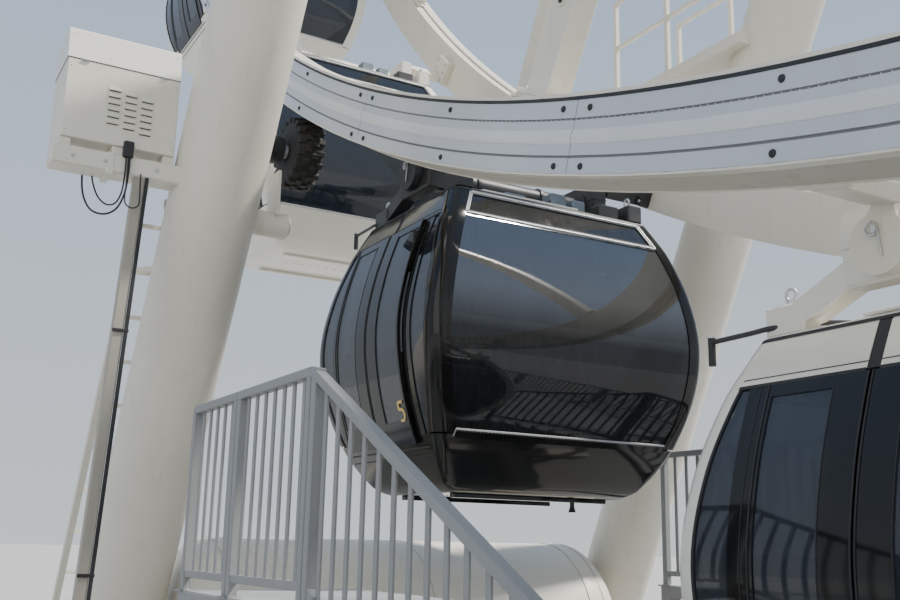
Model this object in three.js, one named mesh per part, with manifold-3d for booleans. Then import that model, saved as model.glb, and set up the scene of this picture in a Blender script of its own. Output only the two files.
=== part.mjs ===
// Observation wheel with enclosed hanging cabins. Millimetres, Z up, wheel axis along Y,
// origin on the ground under the hub. The boarding side is -Y.
import * as THREE from "three";
import { mergeVertices } from "three/addons/utils/BufferGeometryUtils.js";
import Module from "manifold-3d";

const wasm = await Module();
wasm.setup();

// Driving dimensions
const HUB_Z = 21200;
const PIVOT_R = 17800;
const CABINS = 24;
const FEATURED_ANGLE = -28.17;
const FEATURED_NUMBER = 5;
const GAP = 0.4;

// Rings: a box girder with a clad outer face and a slightly slanted underside
const RING_IN = 17230;
const RING_FACE = 17608;
const RING_OUT = 17650;
const RING_Y0 = 1400;
const RING_Y1 = 1650;
const RING_SIDES = 48;
const FLANGE_Y0 = 1300;
const FLANGE_TOP = 450;
const ARM_LOW = 155;
const ARM_TOP = 240;
const ARM_W = 180;
const NECK_W = 120;
const HANGER_Y0 = 900;
const HANGER_Y1 = 955;
const HANGER_W = 290;
const AXLE_R = 90;

// Spokes and hub
const SPOKES = 12;
const HUB_R = 900;
const HUB_Y = 1700;
const SPOKE_Y0 = 1430;
const SPOKE_Y1 = 1600;
const FORK_R = 11200;
const FORK_SPREAD = 6.1;

// Cabin, measured from its pivot: height, half-width and half-depth at each level
const ROOF_Z = -300;
const FLOOR_Z = -2550;
const LEVELS = [
  [ROOF_Z, 720, 920],
  [-600, 870, 1060],
  [-950, 965, 1175],
  [-1350, 1005, 1235],
  [-1750, 965, 1200],
  [-2150, 830, 1085],
  [FLOOR_Z, 580, 830],
];
const BEYOND_X = 1100;
const BEYOND_Y = 1400;
const WALL = 45;
const RIM = 110;
const DOOR_TOP = -550;
const DOOR_LOW = -2240;
const LEAF_X = 550;
const YOKE_Y = 815;
const YOKE_T = 140;

// Legs and base
const FOOT_X = 10757;
const FOOT_Y = 2505;
const FOOT_Z = 1050;
const HEAD_X = 520;
const HEAD_Y = 2189;
const HEAD_Z = HUB_Z - 560;
const LEG_R = 336;
const TANK_R = 850;
const TANK_X = 10250;
const TANK_Z = 1770;
const TANK_L = 3900;
const TANK_CAP = 170;

const TAU = 2 * Math.PI;
const rad = (deg) => (deg * Math.PI) / 180;
const v3 = (x, y, z) => new THREE.Vector3(x, y, z);
const part = new THREE.Group();
part.name = "observation_wheel";

// A geometry as a manifold-3d solid.
function solid(geometry) {
  const flat = geometry.index ? geometry.toNonIndexed() : geometry;
  const bare = new THREE.BufferGeometry();
  bare.setAttribute("position", flat.getAttribute("position"));
  const merged = mergeVertices(bare, 1e-3);
  return new wasm.Manifold(
    new wasm.Mesh({
      numProp: 3,
      vertProperties: merged.attributes.position.array,
      triVerts: new Uint32Array(merged.index.array),
    }),
  );
}

function geometryOf(body) {
  const m = body.getMesh();
  const xyz = new Float32Array(m.numVert * 3);
  for (let i = 0; i < m.numVert; i++) {
    xyz.set(m.vertProperties.subarray(i * m.numProp, i * m.numProp + 3), i * 3);
  }
  const g = new THREE.BufferGeometry();
  g.setAttribute("position", new THREE.BufferAttribute(xyz, 3));
  g.setIndex(new THREE.BufferAttribute(new Uint32Array(m.triVerts), 1));
  return g;
}

const union = (bodies) => bodies.reduce((a, b) => a.add(b));

function box(x0, x1, y0, y1, z0, z1) {
  const g = new THREE.BoxGeometry(x1 - x0, y1 - y0, z1 - z0);
  g.translate((x0 + x1) / 2, (y0 + y1) / 2, (z0 + z1) / 2);
  return solid(g);
}

// A straight bar of rectangular section from a to b; across is the direction its width runs.
function bar(a, b, width, height, across) {
  const along = b.clone().sub(a);
  const length = along.length();
  along.normalize();
  const side = across.clone().addScaledVector(along, -across.dot(along)).normalize();
  const up = along.clone().cross(side);
  const g = new THREE.BoxGeometry(width, height, length);
  const m = new THREE.Matrix4().makeBasis(side, along.clone().cross(side), along);
  m.setPosition(a.clone().add(b).multiplyScalar(0.5));
  g.applyMatrix4(m);
  return up.length() > 0 ? solid(g) : null;
}

// A round bar or a cone from a to b.
function round(a, b, ra, rb, sides) {
  const along = b.clone().sub(a);
  const g = new THREE.CylinderGeometry(rb, ra, along.length(), sides);
  g.rotateX(Math.PI / 2);
  const turn = new THREE.Quaternion().setFromUnitVectors(v3(0, 0, 1), along.clone().normalize());
  g.applyQuaternion(turn);
  g.translate((a.x + b.x) / 2, (a.y + b.y) / 2, (a.z + b.z) / 2);
  return solid(g);
}

// An outline in X and Z, pushed along Y from y0 to y1.
function plate(outline, y0, y1, holes = []) {
  const shape = new THREE.Shape(outline.map(([x, z]) => new THREE.Vector2(x, z)));
  for (const hole of holes) {
    shape.holes.push(new THREE.Path(hole.map(([x, z]) => new THREE.Vector2(x, z))));
  }
  const g = new THREE.ExtrudeGeometry(shape, { depth: y1 - y0, bevelEnabled: false });
  g.rotateX(Math.PI / 2);
  g.translate(0, y1, 0);
  return solid(g);
}

// An outline in Y and Z, pushed along X from x0 to x1.
function slab(outline, x0, x1, holes = []) {
  const shape = new THREE.Shape(outline.map(([y, z]) => new THREE.Vector2(y, z)));
  for (const hole of holes) {
    shape.holes.push(new THREE.Path(hole.map(([y, z]) => new THREE.Vector2(y, z))));
  }
  const g = new THREE.ExtrudeGeometry(shape, { depth: x1 - x0, bevelEnabled: false });
  const m = new THREE.Matrix4().makeBasis(v3(0, 1, 0), v3(0, 0, 1), v3(1, 0, 0));
  g.applyMatrix4(m);
  g.translate(x0, 0, 0);
  return solid(g);
}

function circle(cx, cz, r, sides) {
  const points = [];
  for (let i = 0; i < sides; i++) {
    const t = (TAU * i) / sides;
    points.push([cx + r * Math.cos(t), cz + r * Math.sin(t)]);
  }
  return points;
}

// A point at wheel radius r and angle from straight down, turning towards +X.
function onWheel(r, deg, y) {
  return v3(r * Math.sin(rad(deg)), y, HUB_Z - r * Math.cos(rad(deg)));
}

function place(name, body, color, roughness, metalness) {
  const material = new THREE.MeshStandardMaterial({ color, roughness, metalness });
  const mesh = new THREE.Mesh(geometryOf(body), material);
  mesh.name = name;
  part.add(mesh);
}

const CREAM = 0xd9d5c8;
const CLADDING = 0xaab0b6;
const BLACK = 0x0c0d0f;
const GLASS = 0x1c242c;
const GREY = 0x8f969b;
const RUBBER = 0x151515;

// Rings with a flange, an arm, a hanger plate and half of the cross-axle at each cabin
const pitch = 360 / CABINS;
function ring(side) {
  const section = [
    [RING_IN, RING_Y0],
    [RING_OUT, RING_Y0],
    [RING_FACE, RING_Y1],
    [RING_IN, RING_Y1],
    [RING_IN, RING_Y0],
  ].map(([r, y]) => new THREE.Vector2(r, side * y));
  if (side < 0) section.reverse();
  const g = new THREE.LatheGeometry(section, RING_SIDES, rad(180 - FEATURED_ANGLE));
  g.translate(0, 0, HUB_Z);
  const bodies = [solid(g)];
  const half = HANGER_W / 2;
  const neck = NECK_W / 2;
  const hanger = [
    [-neck, ARM_TOP],
    [-neck, 120],
    [-half, 40],
    [-half, -half],
    [half, -half],
    [half, 40],
    [neck, 120],
    [neck, ARM_TOP],
  ];
  const across = (points, y0, y1) => plate(points, side > 0 ? y0 : -y1, side > 0 ? y1 : -y0);
  const block = (w, low, high, y0, y1) => {
    const points = [
      [-w / 2, high],
      [-w / 2, low],
      [w / 2, low],
      [w / 2, high],
    ];
    return across(points, y0, y1);
  };
  const arm = union([
    block(HANGER_W, ARM_LOW, FLANGE_TOP, FLANGE_Y0, RING_Y0 + 20),
    block(ARM_W, ARM_LOW, ARM_TOP, HANGER_Y1 - 1, FLANGE_Y0 + 1),
    across(hanger, HANGER_Y0, HANGER_Y1),
  ]);
  for (let k = 0; k < CABINS; k++) {
    const deg = FEATURED_ANGLE + k * pitch;
    const at = onWheel(PIVOT_R, deg, 0);
    bodies.push(arm.rotate([0, -deg, 0]).translate([at.x, 0, at.z]));
    const inner = v3(at.x, (side * GAP) / 2, at.z);
    const outer = v3(at.x, side * (HANGER_Y0 + 10), at.z);
    bodies.push(round(inner, outer, AXLE_R, AXLE_R, 6));
  }
  return union(bodies);
}
place("front_ring", ring(-1), CLADDING, 0.4, 0.1);
place("back_ring", ring(1), CLADDING, 0.4, 0.1);

// Forked spokes: a straight bar from the hub, and two bent arms to the ring
function spokes(side) {
  const y = (side * (SPOKE_Y0 + SPOKE_Y1)) / 2;
  const thick = SPOKE_Y1 - SPOKE_Y0;
  const across = v3(0, 1, 0);
  const step = 360 / SPOKES;
  const bodies = [
    plate(circle(0, HUB_Z, HUB_R, 16), y - thick / 2, y + thick / 2, [
      circle(0, HUB_Z, 440, 16).reverse(),
    ]),
  ];
  for (let k = 0; k < SPOKES; k++) {
    const deg = FEATURED_ANGLE + pitch + step * k;
    const root = onWheel(HUB_R - 120, deg, y);
    const fork = onWheel(FORK_R, deg, y);
    bodies.push(bar(root, fork, thick, 330, across));
    for (const turn of [-1, 1]) {
      const from = onWheel(FORK_R - 160, deg, y);
      const to = onWheel(RING_IN + 60, deg + turn * FORK_SPREAD, y);
      bodies.push(bar(from, to, thick, 230, across));
    }
  }
  const start = rad(180 - FEATURED_ANGLE);
  const r = RING_IN - GAP;
  const disc = new THREE.CylinderGeometry(r, r, 5000, RING_SIDES, 1, false, start);
  disc.translate(0, 0, HUB_Z);
  return union(bodies).intersect(solid(disc));
}
place("front_spokes", spokes(-1), CREAM, 0.45, 0.05);
place("back_spokes", spokes(1), CREAM, 0.45, 0.05);

// Hub drum with a shaft stub at each end
const hub = union([
  round(v3(0, -SPOKE_Y0 + GAP, HUB_Z), v3(0, SPOKE_Y0 - GAP, HUB_Z), 620, 620, 16),
  round(v3(0, -HUB_Y - 620, HUB_Z), v3(0, HUB_Y + 620, HUB_Z), 300, 300, 16),
  round(v3(0, -HUB_Y, HUB_Z), v3(0, HUB_Y, HUB_Z), 425, 425, 16),
]);
place("hub", hub, CREAM, 0.45, 0.05);

// The cabin's outline across one axis: 1 for its width, 2 for its depth. It bulges at the
// waist both ways, and is coarse or fine.
function outline(axis, inset, fine) {
  const kept = LEVELS.filter((_, i) => fine || (i !== 2 && i !== 4));
  const mid = (ROOF_Z + FLOOR_Z) / 2;
  const tall = ROOF_Z - FLOOR_Z;
  const half = kept.map((level) => {
    const z = mid + ((level[0] - mid) * (tall - 2 * inset)) / tall;
    return [level[axis] - inset, z];
  });
  return [...half.slice().reverse(), ...half.map(([d, z]) => [-d, z])];
}

function barrel(inset, fine) {
  const deep = slab(outline(2, inset, fine), -BEYOND_X, BEYOND_X);
  return deep.intersect(plate(outline(1, inset, fine), -BEYOND_Y, BEYOND_Y));
}

// A hollow cabin with a window at each end and one over each side
function cabinShell(fine) {
  const window = [
    [-940, DOOR_TOP - 170],
    [-945, DOOR_LOW + 210],
    [945, DOOR_LOW + 210],
    [940, DOOR_TOP - 170],
  ];
  const top = DOOR_TOP - 40;
  const low = DOOR_LOW + 150;
  const wide = plate(outline(1, RIM, fine), -BEYOND_Y, BEYOND_Y);
  const behind = box(-BEYOND_X, BEYOND_X, WALL, BEYOND_Y, low, top);
  const ahead = box(-BEYOND_X, BEYOND_X, -BEYOND_Y, -WALL, low, top);
  const doorway = box(40 - LEAF_X, LEAF_X - 40, -BEYOND_Y, -WALL, DOOR_LOW + 30, top);
  return barrel(0, fine)
    .subtract(barrel(WALL, fine))
    .subtract(slab(window, -BEYOND_X, BEYOND_X))
    .subtract(wide.intersect(behind))
    .subtract(fine ? doorway : wide.intersect(ahead));
}

// Two inverted-V yokes that carry the cabin from its pivot
function yokes() {
  const half = [
    [-90, -150],
    [-480, ROOF_Z - 6],
    [-715, ROOF_Z - 6],
    [-715, ROOF_Z + 150],
    [-260, -10],
    [-245, 190],
  ];
  const mirrored = half.map(([x, z]) => [-x, z]).reverse();
  const bore = circle(0, 0, (AXLE_R + GAP) / Math.cos(Math.PI / 6), 6).reverse();
  const bodies = [];
  for (const side of [-1, 1]) {
    const y0 = side * YOKE_Y - YOKE_T / 2;
    bodies.push(plate([...half, ...mirrored].reverse(), y0, y0 + YOKE_T, [bore]));
  }
  return union(bodies);
}

const at = (k) => onWheel(PIVOT_R, FEATURED_ANGLE + k * pitch, 0);
const numberOf = (k) => String(((FEATURED_NUMBER - 1 + k) % CABINS) + 1).padStart(2, "0");
const plainShell = cabinShell(false);
const yokePair = yokes();
const plainCabin = plainShell.add(yokePair);
for (let k = 1; k < CABINS; k++) {
  const p = at(k);
  place("cabin_" + numberOf(k), plainCabin.translate([p.x, 0, p.z]), CREAM, 0.4, 0.05);
}

// The featured black cabin: shell, yokes and two sliding door leaves
const home = at(0);
const name5 = "cabin_" + numberOf(0);
const shell5 = cabinShell(true);
place(name5, shell5.add(yokePair).translate([home.x, 0, home.z]), BLACK, 0.15, 0.1);

// A door leaf follows the barrel just outside the shell.
function doorLeaf(x0, x1) {
  const near = outline(2, -GAP, true);
  const far = outline(2, -40, true);
  const outer = slab(far, x0, x1);
  const inner = slab(near, x0 - 10, x1 + 10);
  const band = box(x0 - 20, x1 + 20, -BEYOND_Y, -WALL, DOOR_LOW, DOOR_TOP);
  return outer.subtract(inner).intersect(band);
}
const leafLeft = doorLeaf(-LEAF_X, -GAP * 10);
const leafRight = doorLeaf(GAP * 10, LEAF_X);
place(name5 + "_door_left", leafLeft.translate([home.x, 0, home.z]), GLASS, 0.05, 0.2);
place(name5 + "_door_right", leafRight.translate([home.x, 0, home.z]), GLASS, 0.05, 0.2);

// Legs from the feet to the bearing heads
const HEAD_W = 428;
const PAD_Z = 330;
function legEnds(sx, sy) {
  const foot = v3(sx * FOOT_X, sy * FOOT_Y, FOOT_Z);
  const head = v3(sx * HEAD_X, sy * HEAD_Y, HEAD_Z);
  return [foot.clone().addScaledVector(head.clone().sub(foot), -0.06), head];
}
for (const sx of [-1, 1]) {
  for (const sy of [-1, 1]) {
    const [down, head] = legEnds(sx, sy);
    const leg = union([
      round(down, head, LEG_R, LEG_R * 0.95, 12),
      box(
        down.x - 420,
        down.x + 420,
        sy * FOOT_Y - 380,
        sy * FOOT_Y + 380,
        250 + GAP,
        PAD_Z,
      ),
    ]);
    const name = (sy < 0 ? "front" : "back") + "_leg_" + (sx < 0 ? "left" : "right");
    const cut = box(-HEAD_W - GAP, HEAD_W + GAP, -9000, 9000, HUB_Z - 2500, HUB_Z + 900);
    const under = box(-30000, 30000, -9000, 9000, -3000, 250 + GAP);
    place(name, leg.subtract(cut).subtract(under), CREAM, 0.45, 0.05);
  }
}

// Bearing heads between each pair of legs, with a bore for the hub shaft
for (const sy of [-1, 1]) {
  const y0 = sy * HEAD_Y - 300;
  const turned = rad(180 / 16);
  const bore = circle(0, 0, (300 + GAP) / Math.cos(turned), 16)
    .map(([x, z]) => [
      x * Math.cos(turned) - z * Math.sin(turned),
      HUB_Z + x * Math.sin(turned) + z * Math.cos(turned),
    ])
    .reverse();
  const head = plate(
    [
      [-HEAD_W, -1100],
      [HEAD_W, -1100],
      [HEAD_W, 200],
      [250, 480],
      [-250, 480],
      [-HEAD_W, 200],
    ].map(([x, z]) => [x, z + HUB_Z]),
    y0,
    y0 + 600,
    [bore],
  );
  place(sy < 0 ? "front_bearing" : "back_bearing", head, CREAM, 0.45, 0.05);
}

// Ballast tanks along Y between the feet, on saddles
for (const sx of [-1, 1]) {
  const x = sx * TANK_X;
  const end = TANK_L / 2;
  const tip = end + TANK_CAP;
  const tank = union([
    round(v3(x, -end, TANK_Z), v3(x, end, TANK_Z), TANK_R, TANK_R, 16),
    round(v3(x, end - 1, TANK_Z), v3(x, tip, TANK_Z), TANK_R, TANK_R * 0.6, 16),
    round(v3(x, -tip, TANK_Z), v3(x, 1 - end, TANK_Z), TANK_R * 0.6, TANK_R, 16),
    box(x - 600, x + 600, -1850, -1550, 250 + GAP, TANK_Z - 300),
    box(x - 600, x + 600, 1550, 1850, 250 + GAP, TANK_Z - 300),
  ]);
  place(sx < 0 ? "tank_left" : "tank_right", tank, CREAM, 0.45, 0.05);
}

// Base frame: two long beams along X and five cross-beams
const BEAM_Y0 = 1500;
const BEAM_Y1 = 1900;
const base = union([
  box(-FOOT_X - 1100, FOOT_X + 1100, -BEAM_Y1, -BEAM_Y0, 0, 250),
  box(-FOOT_X - 1100, FOOT_X + 1100, BEAM_Y0, BEAM_Y1, 0, 250),
  ...[-5300, 0, 5300].map((x) => box(x - 200, x + 200, -3300, 3300, 0, 250)),
  ...[-FOOT_X - 600, FOOT_X + 600].map((x) => box(x - 500, x + 500, -3300, 3300, 0, 250)),
]);
place("base_frame", base, CREAM, 0.5, 0.05);

// Boarding and exit platforms, one on each side of the lowest cabins. The exit platform
// mirrors the boarding one.
const DECK_Z = 1000;
const DECK_X = 3960;
const DECK_Y0 = -5400;
const DECK_Y1 = -1350;
const BASE_H = 250;
const deckLegs = [];
for (const x of [-3400, 0, 3400]) {
  for (const y of [DECK_Y0 + 150, -2400]) {
    const foot = x === 0 && y > -3300 ? BASE_H + GAP : 0;
    deckLegs.push(box(x - 60, x + 60, y - 60, y + 60, foot, DECK_Z - 90));
  }
}
const deck = union([
  box(-DECK_X, DECK_X, DECK_Y0, DECK_Y1, DECK_Z - 100, DECK_Z),
  ...deckLegs,
]);

// Stairs from the platforms up to a landing on the left, along the cabins' path
const LAND_Z = 2270;
const RAIL_H = 1150;
const STEPS = 7;
const STAIR_X0 = -DECK_X - GAP;
const STAIR_X1 = -6060;
const rise = (LAND_Z - DECK_Z) / (STEPS + 1);
const going = (STAIR_X1 - STAIR_X0) / STEPS;
function stair(y0, y1, landX, postY) {
  const bodies = [box(landX, STAIR_X1 + 20, y0, y1, LAND_Z - 100, LAND_Z)];
  for (let i = 0; i < STEPS; i++) {
    const x = STAIR_X0 + going * i;
    const z = DECK_Z + rise * (i + 1);
    bodies.push(box(x - 400, x, y0 + 20, y1 - 20, z - 50, z));
  }
  const stringer = [
    [STAIR_X0, DECK_Z - 260],
    [STAIR_X0, DECK_Z + 60],
    [STAIR_X1, LAND_Z - 20],
    [STAIR_X1, LAND_Z - 260],
  ];
  bodies.push(plate(stringer, y0, y0 + 55));
  bodies.push(plate(stringer, y1 - 55, y1));
  for (const y of postY) {
    const foot = Math.abs(y) < 1960 ? BASE_H + GAP : 0;
    bodies.push(box(landX, landX + 120, y - 60, y + 60, foot, LAND_Z - 90));
    bodies.push(box(-5360, -5240, y - 60, y + 60, BASE_H + GAP, LAND_Z - 480));
  }
  return union(bodies);
}

// A railing: posts, a top bar, a bottom bar and square balusters along a run
function railing(points, y, spacing) {
  const bodies = [];
  for (let i = 0; i + 1 < points.length; i++) {
    const [xa, za] = points[i];
    const [xb, zb] = points[i + 1];
    const lift = (x, z, h) => v3(x, y, z + h);
    const side = v3(0, 1, 0);
    bodies.push(bar(lift(xa, za, RAIL_H), lift(xb, zb, RAIL_H), 60, 50, side));
    bodies.push(bar(lift(xa, za, 120), lift(xb, zb, 120), 40, 40, side));
    const count = Math.max(1, Math.round(Math.abs(xb - xa) / spacing));
    for (let k = 1; k < count; k++) {
      const x = xa + ((xb - xa) * k) / count;
      const z = za + ((zb - za) * k) / count;
      bodies.push(box(x - 15, x + 15, y - 15, y + 15, z + 110, z + RAIL_H));
    }
  }
  for (const [x, z] of points) {
    bodies.push(box(x - 40, x + 40, y - 30, y + 30, z + GAP, z + RAIL_H + 15));
  }
  return union(bodies);
}
const stairRun = (landX, midX) => [
  [landX + 45, LAND_Z],
  [midX, LAND_Z],
  [STAIR_X1 - 50, LAND_Z],
  [STAIR_X0 - 60, DECK_Z + rise],
];
const deckRun = [
  [60 - DECK_X, DECK_Z],
  [-1200, DECK_Z],
  [1200, DECK_Z],
  [DECK_X - 60, DECK_Z],
];
const deckRailing = railing(deckRun, DECK_Y0 + 60, 1200);
const toExit = (body) => body.mirror([0, 1, 0]);
const LAND_X1 = -8130;
const STAIR_YF = -2640;
const boarding = stair(STAIR_YF, DECK_Y1, LAND_X1, [STAIR_YF + 60, -1700]);
place("boarding_platform", deck, GREY, 0.6, 0.2);
place("boarding_stair", boarding, GREY, 0.6, 0.2);
place(
  "boarding_stair_railing",
  railing(stairRun(LAND_X1, -7230), STAIR_YF + 35, 700),
  GREY,
  0.5,
  0.3,
);
place("boarding_railing", deckRailing, GREY, 0.5, 0.3);
const EXIT_X1 = -8690;
const EXIT_Y0 = 1860;
place("exit_platform", toExit(deck), GREY, 0.6, 0.2);
place("exit_stair", stair(EXIT_Y0, 3100, EXIT_X1, [EXIT_Y0 + 60, 3040]), GREY, 0.6, 0.2);
place(
  "exit_stair_railing",
  railing(stairRun(EXIT_X1, -7350), EXIT_Y0 + 35, 700),
  GREY,
  0.5,
  0.3,
);
place("exit_railing", toExit(deckRailing), GREY, 0.5, 0.3);

// A point on a left leg's axis at height z; side is -1 in front and 1 at the back
function onLeg(z, side) {
  const t = (z - FOOT_Z) / (HEAD_Z - FOOT_Z);
  const x = -FOOT_X + (FOOT_X - HEAD_X) * t;
  return v3(x, side * (FOOT_Y - (FOOT_Y - HEAD_Y) * t), z);
}
function legCut(side) {
  const [down, head] = legEnds(-1, side);
  return round(down, head, LEG_R + GAP, LEG_R * 0.95 + GAP, 12);
}

// Drive tyre pressed under the front ring, beside the front left leg
const TYRE_R = 310;
const DRIVE_ANGLE = -31.2;
const tyreAt = onWheel(RING_OUT + TYRE_R + 6, DRIVE_ANGLE, 0);
const tyreFrom = v3(tyreAt.x, -RING_Y0 - 15, tyreAt.z);
const tyreTo = v3(tyreAt.x, -RING_Y1 + 4, tyreAt.z);
place("drive_tyre", round(tyreFrom, tyreTo, TYRE_R, TYRE_R, 24), RUBBER, 0.9, 0);

// Drive bracket: an arm from the leg, and a gear case out to the tyre
const armZ = tyreAt.z;
const legNear = onLeg(armZ, -1);
const caseFrom = v3(tyreAt.x, -RING_Y1 + 4 - GAP, armZ);
const caseTo = v3(tyreAt.x, legNear.y + 60, armZ);
const bracket = union([
  box(tyreAt.x - 130, legNear.x, legNear.y - 60, legNear.y + 200, armZ - 110, armZ + 110),
  round(caseFrom, caseTo, 150, 150, 12),
]);
place("drive_bracket", bracket.subtract(legCut(-1)), CREAM, 0.5, 0.1);

// Machine housing on a bracket beam, in front of the leg
const HOUSE_Z = 5290;
const HOUSE_X1 = -8500;
const HOUSE_X0 = -9000;
const HOUSE_H = 830;
const houseLeg = onLeg(HOUSE_Z, -1);
const houseY1 = houseLeg.y - LEG_R - 25;
const houseY0 = houseY1 - 800;
const beamX0 = HOUSE_X1 - 200;
const shelf = union([
  box(beamX0, HOUSE_X1, houseY0 - 40, houseLeg.y, HOUSE_Z - 200, HOUSE_Z - 60),
  ...[houseY0, (houseY0 + houseY1) / 2 - 40, houseY1 - 80].map((y) =>
    box(beamX0, HOUSE_X1 - 10, y, y + 80, HOUSE_Z - 61, HOUSE_Z),
  ),
]);
place("housing_shelf", shelf.subtract(legCut(-1)), CREAM, 0.5, 0.05);
const house = box(
  HOUSE_X0,
  HOUSE_X1,
  houseY0,
  houseY1,
  HOUSE_Z + GAP,
  HOUSE_Z + HOUSE_H,
);
place("machine_housing", house, CREAM, 0.4, 0.05);

// Ladder up the outer side of the leg, held by standoffs
const LADDER_OUT = 500;
const LADDER_Y = -245;
const LADDER_W = 180;
const ladderTop = HOUSE_Z - 60;
const beside = (z, y) => {
  const p = onLeg(z, -1);
  return v3(p.x - LADDER_OUT, p.y + LADDER_Y + y, z);
};
const ladder = [];
for (const y of [-LADDER_W, LADDER_W]) {
  ladder.push(bar(beside(-200, y), beside(ladderTop + 200, y), 50, 60, v3(0, 1, 0)));
  for (const z of [1980, 4620]) {
    ladder.push(bar(beside(z, y), onLeg(z, -1), 30, 40, v3(0, 0, 1)));
  }
}
for (let z = 330; z < ladderTop - 100; z += 330) {
  ladder.push(bar(beside(z, -LADDER_W), beside(z, LADDER_W), 30, 30, v3(0, 0, 1)));
}
const reach = box(-20000, 0, -9000, 0, PAD_Z + GAP, ladderTop);
place("ladder", union(ladder).intersect(reach).subtract(legCut(-1)), CREAM, 0.5, 0.1);

// Service walkway with handrails, on the back left leg
const WALK_Z = 7200;
const WALK_X0 = -9350;
const walkLeg = onLeg(WALK_Z, 1);
const walkY0 = 1960;
const walkY1 = 2900;
const walk = [box(WALK_X0, walkLeg.x, walkY0, walkY1, WALK_Z - 110, WALK_Z)];
for (const y of [walkY0 + 25, walkY1 - 25]) {
  for (const x of [WALK_X0 + 30, WALK_X0 + 820]) {
    walk.push(box(x - 22, x + 22, y - 22, y + 22, WALK_Z - 10, WALK_Z + 1100));
  }
  for (const h of [560, 1080]) {
    walk.push(box(WALK_X0 + 20, walkLeg.x, y - 18, y + 18, WALK_Z + h, WALK_Z + h + 36));
  }
}
place("service_walkway", union(walk).subtract(legCut(1)), CREAM, 0.5, 0.05);

export default part;
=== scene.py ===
"""Looks of the observation wheel: finishes, cladding, cabins, railings, drive and fittings.

Metres, Z up, the wheel's axis along Y. The origin is on the ground under the hub.
"""
from math import ceil, cos, pi, radians, sin, tau

import bpy
from mathutils import Matrix, Vector


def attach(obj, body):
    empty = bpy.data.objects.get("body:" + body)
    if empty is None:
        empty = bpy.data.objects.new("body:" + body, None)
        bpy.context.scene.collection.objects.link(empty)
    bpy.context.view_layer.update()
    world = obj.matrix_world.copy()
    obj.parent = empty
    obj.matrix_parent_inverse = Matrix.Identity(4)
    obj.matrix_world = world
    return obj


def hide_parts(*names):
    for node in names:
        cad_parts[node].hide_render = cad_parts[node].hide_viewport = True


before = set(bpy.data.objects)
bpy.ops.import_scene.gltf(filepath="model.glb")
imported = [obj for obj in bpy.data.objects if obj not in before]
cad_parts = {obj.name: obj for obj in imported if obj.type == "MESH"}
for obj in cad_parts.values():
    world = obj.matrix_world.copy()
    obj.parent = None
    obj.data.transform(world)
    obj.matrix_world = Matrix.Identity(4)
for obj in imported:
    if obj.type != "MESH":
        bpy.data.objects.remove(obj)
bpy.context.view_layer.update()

# driving sizes
HUB_Z = 21.2
PIVOT_R = 17.8
CABINS = 24
FEATURED_ANGLE = -28.17
FEATURED = 5
PITCH = 360 / CABINS
RING_IN, RING_FACE, RING_OUT = 17.23, 17.608, 17.65
RING_Y0, RING_Y1 = 1.40, 1.65
HOUSE_X0, HOUSE_X1 = -9.0, -8.5
HOUSE_Z, HOUSE_H = 5.29, 0.83
FILM_Z = -1.33
FACE = {-1: "front", 1: "back"}
HAND = {-1: "left", 1: "right"}


def on_wheel(r, deg, y=0.0):
    """A point at radius r, turned deg from straight down towards +X."""
    a = radians(deg)
    return Vector((r * sin(a), y, HUB_Z - r * cos(a)))


# camera
CAM_AT = Vector((-1.293, -4.604, 2.589))
CAM_YAW, CAM_PITCH, CAM_ROLL = (radians(a) for a in (29.817, 13.189, 1.148))
FOCAL_PX, FRAME_PX, SENSOR = 1044.9, 900, 36.0


def make_camera():
    """The photo's viewpoint, seen from beside the housing up along the ring."""
    cy, sy = cos(CAM_YAW), sin(CAM_YAW)
    cp, sp = cos(CAM_PITCH), sin(CAM_PITCH)
    ahead = Vector((-cy * cp, sy * cp, sp))
    level = Vector((sy, cy, 0))
    over = level.cross(ahead)
    cr, sr = cos(CAM_ROLL), sin(CAM_ROLL)
    right = cr * level + sr * over
    up = -sr * level + cr * over
    data = bpy.data.cameras.new("camera")
    data.sensor_width = SENSOR
    data.lens = FOCAL_PX / FRAME_PX * SENSOR
    data.clip_start, data.clip_end = 0.1, 400
    cam = bpy.data.objects.new("camera", data)
    rows = Matrix((right, up, -ahead)).transposed().to_4x4()
    cam.matrix_world = Matrix.Translation(CAM_AT) @ rows
    bpy.context.scene.collection.objects.link(cam)
    bpy.context.scene.camera = cam


make_camera()


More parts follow.
